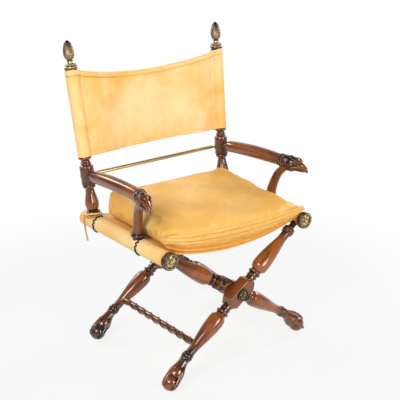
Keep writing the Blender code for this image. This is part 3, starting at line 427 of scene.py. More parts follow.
class Finish(Shading):
    """Material with one shader."""

    def __init__(self, name, **constants):
        self.material = bpy.data.materials.new(name)
        self.material.use_nodes = True
        super().__init__(self.material.node_tree)
        self.shader = self.tree.nodes["Principled BSDF"]
        for socket, value in constants.items():
            self.shader.inputs[socket.replace("_", " ").title().replace("Ior", "IOR")].default_value = value

    def paint(self, socket, value):
        """Link a varying value to the shader."""
        self.tree.links.new(value.socket, self.shader.inputs[socket])

    def bump(self, height, distance, strength=1.0):
        """Raise the surface by a value."""
        self.paint("Normal", self.node("ShaderNodeBump", {}, {"Height": height, "Distance": distance,
                                                              "Strength": strength}))


def wood_finish(name, colours, marked):
    """Polished mahogany with a coat of lacquer; painted shade darkens its hollows, spreads round recesses and
    covers pieces marked darker, and painted light makes open convex wood paler; grain as marked on the piece,
    or along Y.
    """
    finish = Finish(name, specular_ior_level=0.22, coat_weight=0.78, coat_roughness=0.13, coat_ior=1.6)
    if marked:
        place = finish.attribute("grain", "Vector")
    else:
        place = finish.node("ShaderNodeVectorRotate", {"rotation_type": "X_AXIS"},
                            {"Vector": finish.place(), "Angle": pi / 2})
    streak = finish.noise(finish.stretched(place, (75, 75, 5)), 1.0, 5.0, 0.6, 0.7)
    fibre = finish.noise(finish.stretched(place, (900, 900, 30)), 1.0, 2.0)
    cloud = finish.noise(finish.place(), 14.0, 2.0)
    hollow = finish.attribute("hollow", "Fac")
    painted_shade = finish.attribute("painted_shade", "Fac")
    # Streak, fibre and cloud are the wood's own grain and tone; the last two terms, from hollowness and its
    # wide spread, are painted shade in crevices and round recesses.
    dark = finish.ramp(streak, 0.40, 0.76, 0.0, 0.50) + finish.ramp(fibre, 0.55, 0.75, 0.0, 0.16)
    dark = dark + finish.ramp(cloud, 0.42, 0.72, 0.0, 0.34) + finish.ramp(hollow, 0.05, 0.24, 0.0, 0.85)
    dark = dark + finish.ramp(painted_shade, 0.002, 0.050, 0.0, 0.70)
    # Painted light: open wood away from any painted shade turns a paler orange, broken up by clouds.
    painted_light = finish.ramp(painted_shade, 0.0, 0.010, 1.0, 0.0) * finish.ramp(cloud, 0.36, 0.60, 0.60, 0.0)
    light = finish.mix(painted_light, colours.wood_light, colours.wood_painted_light)
    colour = finish.mix(finish.ramp(dark, 0.0, 1.0), light, colours.wood_grain_and_shade)
    worn = finish.ramp(hollow, -0.24, -0.07, 0.25, 0.0)
    finish.paint("Base Color", finish.mix(worn, colour, colours.wood_worn))
    finish.paint("Roughness", 0.26 + 0.16 * cloud + finish.ramp(hollow, 0.05, 0.25, 0.0, 0.3))
    finish.bump(0.5 * fibre + 0.4 * streak, 0.00006, 0.2)


def leather_finish(name, colours, shift):
    """Smooth tan hide: cloudy colour, paler where it is stretched, fine pores and creases; painted shade
    darkens its hollows, and the lowest tones take a dark colour that paints the shade in seams and is also
    the lace's own colour.
    """
    finish = Finish(name, specular_ior_level=0.38)
    place = finish.place()
    cloud = finish.noise(place, 7.0, 4.0, 0.55, 0.6)
    blotch = finish.noise(place, 34.0, 3.0, 0.6)
    pores = finish.cells(place, 760.0)
    crease = finish.noise(finish.stretched(place, (60, 60, 34)), 1.0, 6.0, 0.65, 1.2)
    tone = finish.attribute("tone", "Fac")
    hollow = finish.attribute("hollow", "Fac")
    pale = 0.54 + shift + 0.42 * tone + 1.35 * (cloud - 0.5) + 0.40 * (blotch - 0.5)
    # Painted shade: hollows and creases darken.
    pale = pale - finish.ramp(hollow, 0.03, 0.20, 0.0, 0.55) - 0.06 * finish.ramp(pores, 0.2, 0.5)
    colour = finish.mix(finish.ramp(pale, 0.0, 1.0), colours.leather_deep, colours.leather_pale)
    stain = finish.ramp(finish.noise(place, 19.0, 5.0, 0.7, 1.5), 0.54, 0.76, 0.0, 0.42)
    colour = finish.mix(stain, colour, colours.leather_stain)
    # The lowest tones turn to the darkest colour: painted shade in seam creases and stitch grooves, and the
    # deeper own colour of the lace and of the rail covers' ends.
    seam = finish.ramp(tone, -0.95, -0.40, 0.75, 0.0)
    finish.paint("Base Color", finish.mix(seam, colour, colours.dark_leather_and_seam_shade))
    finish.paint("Roughness", 0.42 + 0.14 * blotch + 0.06 * crease)
    finish.bump(0.55 * pores + 0.8 * crease + 0.5 * blotch, 0.00045, 0.42)


def brass_finish(name, bright, dark, wear, rough):
    """Antique brass of a given roughness, with bright ridges and a patina that wear takes off."""
    finish = Finish(name, metallic=1.0)
    place = finish.place()
    patina = finish.noise(place, 160.0, 4.0, 0.6)
    hollow = finish.attribute("hollow", "Fac")
    cover = finish.ramp(hollow, -0.10, 0.12, 0.0, 0.92)
    cover = cover + finish.ramp(patina, 0.45, 0.75, 0.0, 0.5 * (1 - wear))
    finish.paint("Base Color", finish.mix(finish.ramp(cover, 0.0, 1.0), bright, dark))
    finish.paint("Roughness", rough + 0.25 * patina + finish.ramp(hollow, 0.0, 0.2, 0.0, 0.2))
    finish.bump(patina, 0.00015, 0.5)


def steel_finish(name, colours):
    """Plain steel with fine turning marks."""
    finish = Finish(name, metallic=1.0)
    marks = finish.noise(finish.stretched(finish.place(), (60, 900, 60)), 1.0, 2.0)
    finish.paint("Base Color", finish.mix(marks, colours.steel, colours.steel_marks))
    finish.paint("Roughness", 0.28 + 0.2 * marks)
    finish.bump(marks, 0.00005, 0.4)


def thread_finish(name, colour):
    """Waxed thread with a fine twist."""
    finish = Finish(name)
    strand = finish.noise(finish.place(), 900.0, 2.0)
    finish.paint("Base Color", finish.mix(strand, colour, tuple(0.6 * part for part in colour)))
    finish.paint("Roughness", 0.45 + 0.2 * strand)
    finish.bump(strand, 0.0001, 0.4)


class Turning:
    """Outline of a turned piece, as (radius, height) rows from one end to the other."""

    def __init__(self, radius, height):
        self.rows = [(radius, height)]

    def to(self, radius, height):
        """Straight cut."""
        self.rows.append((radius, height))
        return self

    def bead(self, height, swell, steps=8):
        """Half-round bead, or with a negative swell a hollow, that ends at the radius where it starts."""
        radius, start = self.rows[-1]
        for k in range(1, steps + 1):
            turn = pi * k / steps
            self.rows.append((radius + swell * sin(turn), start + (height - start) * (1 - cos(turn)) / 2))
        return self

    def curve(self, *rows, steps=5):
        """Smooth curve through the given rows."""
        self.rows += [tuple(point) for point in smooth_path((self.rows[-1], *rows), steps)[1:]]
        return self

    def flipped(self):
        """Rows of the mirror image below height 0."""
        return [(radius, -height) for radius, height in self.rows]

    def sized(self, radius, height, low=0.0):
        """Rows of an outline drawn in shares of a radius and of a height above a lowest place."""
        return [(reach * radius, low + rise * height) for reach, rise in self.rows]


def smooth_path(points, steps):
    """Points on a smooth curve through the given ones."""
    points = [Vector(point) for point in points]
    ends = [2 * points[0] - points[1], *points, 2 * points[-1] - points[-2]]
    path = []
    for a, b, c, d in zip(ends, ends[1:], ends[2:], ends[3:]):
        for k in range(steps):
            t = k / steps
            path.append(0.5 * (2 * b + t * (c - a) + t * t * (2 * a - 5 * b + 4 * c - d)
                               + t ** 3 * (3 * b - a - 3 * c + d)))
    path.append(points[-1])
    return path


def spread(values, count):
    """A count of numbers that run evenly through the given values."""
    return np.interp(np.linspace(0, 1, count), np.linspace(0, 1, len(values)), values)


def angles_round(count):
    """Even angles of a whole turn."""
    return np.linspace(0, 2 * pi, count, endpoint=False)


def ring_points(radius, height, angle):
    """Points round local Z at a height, at the given angles."""
    return np.stack((radius * np.cos(angle), radius * np.sin(angle), np.full(len(angle), height)), 1)


def frame_of(origin, x, y, z):
    """Frame at an origin with the given local axes, which also hold its size."""
    return Matrix.Translation(origin) @ Matrix((x, y, z)).transposed().to_4x4()


def aim(origin, direction, across=(0, 1, 0)):
    """Frame at origin with local Z along direction and local Y close to across."""
    z = Vector(direction).normalized()
    y = (Vector(across) - z * z.dot(Vector(across))).normalized()
    return frame_of(origin, y.cross(z), y, z)


def moved(points, matrix):
    """Rows of points after a transform."""
    matrix = np.array(matrix)
    return points @ matrix[:3, :3].T + matrix[:3, 3]


def smoothstep(value, low, high):
    """Smooth step of an array from 0, below low, to 1, above high."""
    share = np.clip((value - low) / (high - low), 0, 1)
    return share * share * (3 - 2 * share)


class Form:
    """Points, faces and leather tones of a piece, in the piece's own frame; each method returns the form."""

    def __init__(self):
        self.points = []
        self.tones = []
        self.faces = []
        self.count = 0

    def add(self, points, faces, matrix=None, tone=0.0):
        """Add a shape; tone is paler above 0 and deeper below."""
        points = np.asarray(points, float).reshape(-1, 3)
        if matrix is not None:
            points = moved(points, matrix)
        self.faces += [tuple(index + self.count for index in face) for face in faces]
        self.points.append(points)
        self.tones.append(np.zeros(len(points)) + tone)
        self.count += len(points)
        return self

    def skin(self, loops, matrix=None, ring=False, tone=0.0):
        """Closed surface through loops of equally many points; a ring joins its last loop to its first."""
        sides = len(loops[0])
        count = len(loops)
        faces = []
        for k in range(count if ring else count - 1):
            low = k * sides
            high = (k + 1) % count * sides
            for i in range(sides):
                j = (i + 1) % sides
                faces.append((low + i, low + j, high + j, high + i))
        if not ring:
            faces.append(tuple(range(sides)))
            faces.append(tuple(range((count - 1) * sides, count * sides)))
        return self.add(np.concatenate(loops), faces, matrix, tone)

    def turned(self, outline, matrix=None, sides=48, ring=False, flutes=0, depth=0.0):
        """Outline turned round local Z, with flutes of a share of the radius if any."""
        angle = angles_round(sides)
        wave = 1 + depth * np.cos(flutes * angle)
        loops = [ring_points(radius * wave, height, angle) for radius, height in outline]
        return self.skin(loops, matrix, ring)

    def ball(self, radii, matrix=Matrix(), sides=24):
        """Ball stretched to three half sizes."""
        outline = [(sin(pi * k / (sides // 2)), cos(pi * k / (sides // 2))) for k in range(sides // 2 + 1)]
        return self.turned(outline, matrix @ Matrix.Diagonal((*radii, 1)), sides)

    def tube(self, path, radii, matrix=None, sides=16, flat=1.0, outward=None, ring=False, tone=0.0):
        """Bar along a path, flattened along the outward directions if these are given."""
        path = np.array([tuple(point) for point in path])
        radii = np.zeros(len(path)) + radii
        along = np.roll(path, -1, 0) - np.roll(path, 1, 0) if ring else np.gradient(path, axis=0)
        along /= np.linalg.norm(along, axis=1)[:, None]
        if outward is None:
            side = np.eye(3)[np.argmin(np.abs(along[0]))]
            thin = [side]
            for direction in along:
                side = thin[-1] - direction * (thin[-1] @ direction)
                thin.append(side / np.linalg.norm(side))
            thin = np.array(thin[1:])
        else:
            thin = np.array([tuple(point) for point in outward])
            thin -= along * (thin * along).sum(1)[:, None]
            thin /= np.linalg.norm(thin, axis=1)[:, None]
        wide = np.cross(along, thin)
        angle = angles_round(sides)[:, None]
        loops = [p + r * (np.cos(angle) * w + flat * np.sin(angle) * t)
                 for p, r, w, t in zip(path, radii, wide, thin)]
        return self.skin(loops, matrix, ring, tone)

    def block(self, size, chamfer, matrix=None, rim_chamfer=0.0045, soft=0.0014):
        """Box with chamfers on the edges along local Y, round their ends, and softened corners."""
        bm = bmesh.new()
        bmesh.ops.create_cube(bm, size=1, matrix=Matrix.Diagonal((*size, 1)))
        along = [e for e in bm.edges if abs((e.verts[0].co - e.verts[1].co).normalized().y) > 0.9]
        bmesh.ops.bevel(bm, geom=along, offset=chamfer, segments=1, affect="EDGES")
        bm.normal_update()
        rim = [e for e in bm.edges if any(abs(f.normal.y) > 0.9 for f in e.link_faces)]
        bmesh.ops.bevel(bm, geom=rim, offset=rim_chamfer, segments=1, affect="EDGES")
        bmesh.ops.bevel(bm, geom=bm.edges[:], offset=soft, segments=3, profile=0.6, affect="EDGES")
        bm.verts.index_update()
        self.add([v.co for v in bm.verts], [[v.index for v in f.verts] for f in bm.faces], matrix)
        bm.free()
        return self


def build_mesh(name, form):
    """Mesh of a form, with its doubles merged and its faces outwards."""
    mesh = bpy.data.meshes.new(name)
    mesh.from_pydata(np.concatenate(form.points).tolist(), [], form.faces)
    tone = mesh.attributes.new("tone", "FLOAT", "POINT")
    tone.data.foreach_set("value", np.concatenate(form.tones).astype(np.float32))
    bm = bmesh.new()
    bm.from_mesh(mesh)
    bmesh.ops.remove_doubles(bm, verts=bm.verts, dist=MERGE_DISTANCE)
    bmesh.ops.recalc_face_normals(bm, faces=bm.faces)
    bm.to_mesh(mesh)
    bm.free()
    return mesh


def points_of(mesh):
    """Points of a mesh as rows."""
    points = np.empty(3 * len(mesh.vertices))
    mesh.vertices.foreach_get("co", points)
    return points.reshape(-1, 3)


def put_points(mesh, points):
    """Move the points of a mesh to the given rows."""
    mesh.vertices.foreach_set("co", np.asarray(points, float).ravel())
    mesh.update()


def normals_of(mesh):
    """Directions in which the points of a mesh face."""
    normals = np.empty(3 * len(mesh.vertices))
    mesh.vertex_normals.foreach_get("vector", normals)
    return normals.reshape(-1, 3)


def edges_of(mesh):
    """Both ends of each edge of a mesh."""
    ends = np.empty(2 * len(mesh.edges), int)
    mesh.edges.foreach_get("vertices", ends)
    return ends[0::2], ends[1::2]


def store(mesh, name, kind, values):
    """Write values for the points of a mesh under a name."""
    slot = mesh.attributes.get(name) or mesh.attributes.new(name, kind, "POINT")
    slot.data.foreach_set("value" if kind == "FLOAT" else "vector", np.asarray(values, np.float32).ravel())


def mark_surface(mesh, shade_depth=0.0):
    """Store at each point its place, for the grain, how hollow it is, and a painted shade: hollowness spread
    wide round recesses, plus the piece's given shade depth.
    """
    points = points_of(mesh)
    normals = normals_of(mesh)
    a, b = edges_of(mesh)
    total = len(points)
    step = points[b] - points[a]
    step /= np.maximum(np.linalg.norm(step, axis=1), 1e-9)[:, None]
    ends = np.maximum(np.bincount(a, minlength=total) + np.bincount(b, minlength=total), 1)

    def gathered(at_a, at_b):
        """Mean at each point of values given for the two ends of its edges."""
        return (np.bincount(a, at_a, total) + np.bincount(b, at_b, total)) / ends

    hollow = gathered((step * normals[a]).sum(1), -(step * normals[b]).sum(1))
    for _ in range(2):
        hollow = 0.5 * (hollow + gathered(hollow[b], hollow[a]))
    # Painted shade: hollowness spread wide, so that the wood darkens round rings, necks and recesses.
    painted_shade = np.clip(hollow, 0, 0.3)
    for _ in range(16):
        painted_shade = 0.5 * (painted_shade + gathered(painted_shade[b], painted_shade[a]))
    store(mesh, "grain", "FLOAT_VECTOR", points)
    store(mesh, "hollow", "FLOAT", hollow)
    store(mesh, "painted_shade", "FLOAT", painted_shade + shade_depth)


def stain_evenly(mesh, patina):
    """Mark a brass mesh and let it count as hollow by the given amount."""
    mark_surface(mesh)
    store(mesh, "hollow", "FLOAT", np.zeros(len(mesh.vertices)) + patina)


def plain_copy(thing):
    """Mesh of an object with its modifiers done; the object itself is removed."""
    graph = bpy.context.evaluated_depsgraph_get()
    mesh = bpy.data.meshes.new_from_object(thing.evaluated_get(graph), preserve_all_data_layers=True,
                                           depsgraph=graph)
    bpy.data.objects.remove(thing)
    return mesh


def loose_object(name, mesh):
    """Object of a mesh, linked to the scene while it is worked on."""
    thing = bpy.data.objects.new(name, mesh)
    bpy.context.scene.collection.objects.link(thing)
    return thing


def carved(form, voxel, relax=3):
    """Mesh of a form whose shapes are melted into one skin, as if cut from one block."""
    thing = loose_object("carving", build_mesh("carving", form))
    melt = thing.modifiers.new("melt", "REMESH")
    melt.mode = "VOXEL"
    melt.voxel_size = voxel
    ease = thing.modifiers.new("ease", "SMOOTH")
    ease.factor = 0.5
    ease.iterations = relax
    return plain_copy(thing)


def add_mesh(form, mesh, matrix=None):
    """Add a mesh to a form and remove it."""
    faces = [tuple(face.vertices) for face in mesh.polygons]
    form.add(points_of(mesh), faces, matrix)
    bpy.data.meshes.remove(mesh)


def place_piece(name, shape, finish, body, nodes=(), matrix=Matrix(), marked=False, shade_depth=0.0):
    """Give a form or a mesh its place, finish and body, and let it stand for its solids."""
    mesh = build_mesh(name, shape) if isinstance(shape, Form) else shape
    if not marked:
        mark_surface(mesh, shade_depth)
    mesh.transform(TO_ROW @ matrix)
    mesh.shade_smooth()
    mesh.set_sharp_from_angle(angle=SHARP_ANGLE)
    mesh.materials.clear()
    mesh.materials.append(bpy.data.materials[finish])
    piece = loose_object(name, mesh)
    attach(piece, body)
    if nodes:
        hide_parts(*nodes)
    return piece


def gather(piece):
    """Give a soft piece a mesh of its own."""
    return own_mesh(piece)


def new_tree(name, sockets):
    """Function that adds nodes to a new Geometry Nodes tree, and the tree's named inputs."""
    tree = bpy.data.node_groups.new(name, "GeometryNodeTree")
    tree.interface.new_socket("Geometry", in_out="INPUT", socket_type="NodeSocketGeometry")
    for label, kind in sockets:
        tree.interface.new_socket(label, in_out="INPUT", socket_type=kind)
    tree.interface.new_socket("Geometry", in_out="OUTPUT", socket_type="NodeSocketGeometry")

    def add(kind, links, **settings):
        """New node with its settings, and its inputs linked or set."""
        node = tree.nodes.new(kind)
        for key, value in settings.items():
            setattr(node, key, value)
        for key, value in links.items():
            if isinstance(value, bpy.types.NodeSocket):
                tree.links.new(value, node.inputs[key])
            else:
                node.inputs[key].default_value = value
        return node

    return add, add("NodeGroupInput", {}).outputs


def close_tree(add, instances, finish):
    """End a tree in plain geometry with its finish."""
    real = add("GeometryNodeRealizeInstances", {"Geometry": instances})
    dressed = add("GeometryNodeSetMaterial", {"Geometry": real.outputs[0], "Material": finish})
    add("NodeGroupOutput", {"Geometry": dressed.outputs[0]})


def copies_tree():
    """Tree that sets a copy of a shape on each point, with the point's own turn and size."""
    add, start = new_tree("copies_on_points", [("Shape", "NodeSocketObject"),
                                               ("Finish", "NodeSocketMaterial")])
    shape = add("GeometryNodeObjectInfo", {"Object": start["Shape"]})
    turn = add("GeometryNodeInputNamedAttribute", {"Name": "turn"}, data_type="FLOAT_VECTOR")
    size = add("GeometryNodeInputNamedAttribute", {"Name": "size"}, data_type="FLOAT_VECTOR")
    spin = add("FunctionNodeEulerToRotation", {0: turn.outputs[0]})
    points = add("GeometryNodeMeshToPoints", {"Mesh": start["Geometry"]})
    copies = add("GeometryNodeInstanceOnPoints", {
        "Points": points.outputs[0], "Instance": shape.outputs["Geometry"], "Rotation": spin.outputs[0],
        "Scale": size.outputs[0]})
    close_tree(add, copies.outputs[0], start["Finish"])


def stitches_tree():
    """Tree that sets stitches along lines, at a pitch, each in line with its seam."""
    add, start = new_tree("stitches_on_lines", [("Shape", "NodeSocketObject"), ("Pitch", "NodeSocketFloat"),
                                                ("Finish", "NodeSocketMaterial")])
    shape = add("GeometryNodeObjectInfo", {"Object": start["Shape"]})
    line = add("GeometryNodeMeshToCurve", {"Mesh": start["Geometry"]})
    points = add("GeometryNodeCurveToPoints", {"Curve": line.outputs[0], "Length": start["Pitch"]},
                 mode="LENGTH")
    spin = add("FunctionNodeAlignRotationToVector", {"Vector": points.outputs["Tangent"]}, axis="X")
    copies = add("GeometryNodeInstanceOnPoints", {
        "Points": points.outputs[0], "Instance": shape.outputs["Geometry"], "Rotation": spin.outputs[0]})
    close_tree(add, copies.outputs[0], start["Finish"])


def grown(name, mesh, tree_name, pattern, finish, **inputs):
    """Plain mesh that a tree makes by setting a pattern on the points or lines of a mesh."""
    thing = loose_object(name, mesh)
    shape = loose_object(name + "_shape", pattern)
    step = thing.modifiers.new("grow", "NODES")
    step.node_group = bpy.data.node_groups[tree_name]
    values = {"Shape": shape, "Finish": bpy.data.materials[finish], **inputs}
    for item in step.node_group.interface.items_tree:
        if item.item_type == "SOCKET" and item.in_out == "INPUT" and item.name in values:
            step[item.identifier] = values[item.name]
    made = plain_copy(thing)
    bpy.data.objects.remove(shape)
    return made


def place_copies(name, shape, finish, body, frames, matrix=Matrix()):
    """Piece of copies of a form at the given frames, whose columns also hold the size."""
    points = bpy.data.meshes.new(name)
    points.from_pydata([tuple(spot.translation) for spot in frames], [], [])
    turns = [tuple(spot.to_3x3().normalized().to_euler()) for spot in frames]
    store(points, "turn", "FLOAT_VECTOR", turns)
    store(points, "size", "FLOAT_VECTOR", [tuple(spot.to_scale()) for spot in frames])
    pattern = build_mesh(name + "_shape", shape)
    mark_surface(pattern)
    pattern.shade_smooth()
    made = grown(name, points, "copies_on_points", pattern, finish)
    place_piece(name, made, finish, body, (), matrix, marked=True)


def place_stitches(name, lines, body, sizes):
    """Piece of stitches along lines of points."""
    points = []
    edges = []
    for line in lines:
        start = len(points)
        points += [tuple(point) for point in line]
        edges += [(k, k + 1) for k in range(start, len(points) - 1)]
    mesh = bpy.data.meshes.new(name)
    mesh.from_pydata(points, edges, [])
    stitch = (0.40 * sizes.stitch_pitch, sizes.stitch_radius, sizes.stitch_radius)
    pattern = build_mesh(name + "_shape", Form().ball(stitch, sides=8))
    made = grown(name, mesh, "stitches_on_lines", pattern, "tan_thread", Pitch=sizes.stitch_pitch)
    return place_piece(name, made, "tan_thread", body, marked=True)


def petal_shape(length, width, height, fold):
    """Leaf with a raised rib, from the origin along local X, facing local Z."""
    half_side = [(-1, 0), (-0.75, 0.55), (-0.35, 0.92), (-0.12, 1 - fold)]
    side = [*half_side, (0, 1), *[(-u, v) for u, v in reversed(half_side)]]
    loops = []
    for t in np.linspace(0, 1, 9):
        half = width / 2 * max(sin(pi * t ** 0.75), 0.02)
        rise = height * (0.35 + 0.65 * sin(pi * min(1, 0.15 + 0.75 * t)))
        loops.append(np.array([(length * t, half * u, rise * v) for u, v in side]))
    return Form().skin(loops)


def leg_direction(side, face, splay):
    """Unit vector up a leg that hangs on the rail of the given side."""
    return Vector((side * cos(REST_SLOPE) * cos(splay), -face * sin(splay), sin(REST_SLOPE) * cos(splay)))


def leg_outline(end, end_radius, collar_at, collar, bulb):
    """Turning of one half of a leg from the hub outwards: ring, bulb, waist and collar."""
    bulb_at = BLOCK_SIZE.z / 2 + BULB_OFFSET
    waist_end = collar_at - 0.034
    neck = 0.74 * LEG_RING
    line = Turning(neck, BLOCK_SIZE.z / 2 - 0.012)
    line.to(neck, bulb_at - 0.052).bead(bulb_at - 0.048, 0.0022)
    line.to(neck, bulb_at - 0.0405).bead(bulb_at - 0.0300, LEG_RING - neck)
    line.to(neck + 0.0012, bulb_at - 0.0285).to(neck + 0.0012, bulb_at - 0.0265)
    line.curve((0.70 * bulb, bulb_at - 0.022), (0.93 * bulb, bulb_at - 0.013), (bulb, bulb_at))
    for k in range(1, 17):
        share = 1 - k / 16
        swell = sin(share * pi / 2) ** 1.25
        line.to(LEG_WAIST + (bulb - LEG_WAIST) * swell, waist_end + (bulb_at - waist_end) * share)
    line.to(LEG_WAIST, collar_at - 0.024).to(LEG_WAIST, collar_at - 0.0145).to(LEG_WAIST, collar_at - 0.0125)
    line.to(0.80 * collar, collar_at - 0.0120).bead(collar_at - 0.0075, 0.12 * collar)
    line.to(0.80 * collar, collar_at - 0.0070).bead(collar_at + 0.0060, 0.20 * collar)
    line.to(0.80 * collar, collar_at + 0.0065).bead(collar_at + 0.0105, 0.12 * collar)
    line.curve((end_radius, collar_at + 0.016), (end_radius, end), steps=3)
    return line


def claw_form(length, under):
    """Shank, ball and talons of a foot, down local Z from its ankle; the toe that is under it is drawn in."""
    form = Form()
    shank = Turning(0, -0.006).to(LEG_WAIST, -0.006)
    shank.curve((0.0150, 0.004), (0.0180, length - 0.058), (0.0226, length - 0.045),
                (0.0252, length - 0.033), (0.0250, length - 0.0240))
    shank.to(0.0195, length - 0.0190).to(0, length - 0.0150)
    form.turned(shank.rows, sides=40)
    form.ball((CLAW_BALL,) * 3, Matrix.Translation((0, 0, length)), 48)
    rows = [(0.0100, 0.002), (0.0150, length - 0.058), (0.0200, length - 0.042), (0.0244, length - 0.024),
            (0.0266, length - 0.004), (0.0254, length + 0.010), (0.0204, length + 0.020)]
    widths = (0.0050, 0.0062, 0.0080, 0.0072, 0.0066, 0.0056, 0.0026)
    knuckles = ((2, 0.0082), (4, 0.0072))
    for k in range(4):
        angle = k * pi / 2
        draw = 0.72 if cos(angle - under) > 0.8 else 1.0
        points = [(draw * reach * cos(angle), draw * reach * sin(angle), along) for reach, along in rows]
        path = smooth_path(points, 5)
        form.tube(path, draw * spread(widths, len(path)), sides=16)
        for place, radius in knuckles:
            form.ball((radius * draw,) * 3, Matrix.Translation(points[place]), 16)
    return form


def make_leg(name, body, side, face, plane, splay, sizes):
    """Turned leg with its hub block, top eye and carved foot."""
    up = leg_direction(side, face, splay)
    hub = Vector((0, face * plane, HUB_HEIGHT))
    leg_frame = aim(hub, up)
    inside = leg_frame.inverted()
    length = UPPER_LENGTH / cos(splay)
    form = Form()
    form.turned(leg_outline(length, LEG_NECK, length - COLLAR_DROP, LEG_COLLAR, UPPER_BULB).rows)
    form.turned(leg_outline(ANKLE_AT + 0.018, LEG_WAIST, ANKLE_AT, ANKLE_COLLAR, LOWER_BULB).flipped())
    level = inside @ aim(hub, (side * cos(REST_SLOPE), 0, sin(REST_SLOPE)))
    block = BLOCK_SIZE if side > 0 else BLOCK_SIZE * Vector((1, 1, INNER_BLOCK_SHARE))
    form.block(block, BLOCK_CHAMFER, level)
    half = EYE_WIDTH / 2
    eye = [(EYE_BORE, -half), (EYE_RADIUS, -half), (EYE_RADIUS, half), (EYE_BORE, half)]
    form.turned(eye, inside @ aim(hub + up * length, (0, 1, 0), (0, 0, 1)), 32, True)
    if side < 0:
        carve_block(form, level)
    ankle = hub - up * (ANKLE_AT + 0.012)
    ball = hub - up * (FOOT_SPREAD / 2 / (cos(REST_SLOPE) * cos(splay)))
    ball.z = CLAW_HEIGHT
    foot = aim(ankle, ball - ankle)
    down = foot.to_3x3().inverted() @ Vector((0, 0, -1))
    mesh = carved(claw_form((ball - ankle).length, atan2(down.y, down.x)), sizes.carving_grain)
    spots = moved(points_of(mesh), foot)
    spots[:, 2] = np.maximum(spots[:, 2], 0.0002)
    put_points(mesh, spots)
    add_mesh(form, mesh, inside)
    mesh = build_mesh(name, form)
    along = points_of(mesh)[:, 2]
    # Painted shade: darker round the hub block, down the foot and over the whole of a rear leg.
    shade_depth = PIECE_SHADE["hub"] * (1 - smoothstep(np.abs(along), 0.045, 0.075))
    shade_depth += PIECE_SHADE["foot"] * smoothstep(-along, ANKLE_AT - 0.030, ANKLE_AT + 0.010)
    if face > 0:
        shade_depth += PIECE_SHADE["rear leg"]
    place_piece("turned_" + name, mesh, "polished_mahogany", body, [name], leg_frame, shade_depth=shade_depth)


def carve_block(form, matrix):
    """Drums with slanting gadroons between rings, at the two ends of an inner hub block."""
    angle = angles_round(96)
    for end in (-1, 1):
        loops = []
        for share in np.linspace(0, 1, 25):
            wave = np.cos(GADROONS * (angle + GADROON_SLANT * share)) * sin(pi * share) ** 0.5
            radius = DRUM_RADIUS * (1 + 0.05 * sin(pi * share)) * (1 + GADROON_DEPTH * wave)
            loops.append(ring_points(radius, end * (DRUM_LOW + DRUM_LENGTH * share), angle))
        form.skin(loops, matrix)
        for low, high in DRUM_RINGS:
            ring = Turning(0, end * low).to(DRUM_RING, end * low).bead(end * high, 0.0022).to(0, end * high)
            form.turned(ring.rows, matrix)


def make_stretcher(name, body, side):
    """Bar with two raised twists, between the front and rear legs of one pair."""
    inset = 0 if side > 0 else LEG_PITCH
    ends = []
    for face, plane, splay in FRAMES.values():
        hub = Vector((0, face * (plane - inset), HUB_HEIGHT))
        ends.append(hub - leg_direction(side, face, splay) * STRETCHER_AT)
    start, stop = ends
    sunk = 0.6 * LEG_WAIST
    length = (stop - start).length - 2 * sunk
    angle = angles_round(64)
    loops = []
    for share in np.linspace(0, 1, 241):
        ridge = np.cos(angle - 2 * pi * STRETCHER_TURNS * share) ** 12
        radius = STRETCHER_HOLLOW + (STRETCHER_RADIUS + STRETCHER_RIDGE - STRETCHER_HOLLOW) * ridge
        loops.append(ring_points(radius, sunk + share * length, angle))
    place_piece("twisted_" + name, Form().skin(loops), "polished_mahogany", body, [name],
                aim(start, stop - start, (0, 0, 1)), shade_depth=PIECE_SHADE["stretcher"])


def make_rosette(name, matrix, radius, height, petals, body, finish):
    """Cast brass rosette that faces local Z: a dished disc with petals and a beaded rim."""
    outline = Turning(0, 0).to(1, 0).to(1, 0.30).bead(0.62, 0.03).to(0.90, 0.62)
    outline.curve((0.84, 0.38), (0.45, 0.34), (0.30, 0.62), (0, 0.70))
    disc = build_mesh(name, Form().turned(outline.sized(radius, height)))
    stain_evenly(disc, ROSETTE_PATINA)
    place_piece("cast_" + name, disc, finish, body, [name], matrix, marked=True)

    leaf = petal_shape(0.62 * radius, 0.52 * radius * 8 / petals, 0.52 * height, 0.4)
    root = Matrix.Translation((0.24 * radius, 0, 0.36 * height))
    leaves = [Matrix.Rotation(2 * pi * k / petals, 4, "Z") @ root for k in range(petals)]
    place_copies(name + "_petals", leaf, finish, body, leaves, matrix)

    def bead(reach, turn, rise, size):
        """Frame of a bead at shares of the rosette's radius and height."""
        spot = (reach * radius * cos(turn), reach * radius * sin(turn), rise * height)
        return Matrix.Translation(spot) @ Matrix.Diagonal((size * radius,) * 3).to_4x4()

    beads = [bead(0.93, turn, 0.60, 0.085) for turn in angles_round(26)]
    beads += [bead(0.17, turn, 0.74, 0.11) for turn in angles_round(6)]
    beads.append(bead(0, 0, 0.86, 0.12))
    place_copies(name + "_beads", Form().ball((1, 1, 1), sides=8), finish, body, beads, matrix)


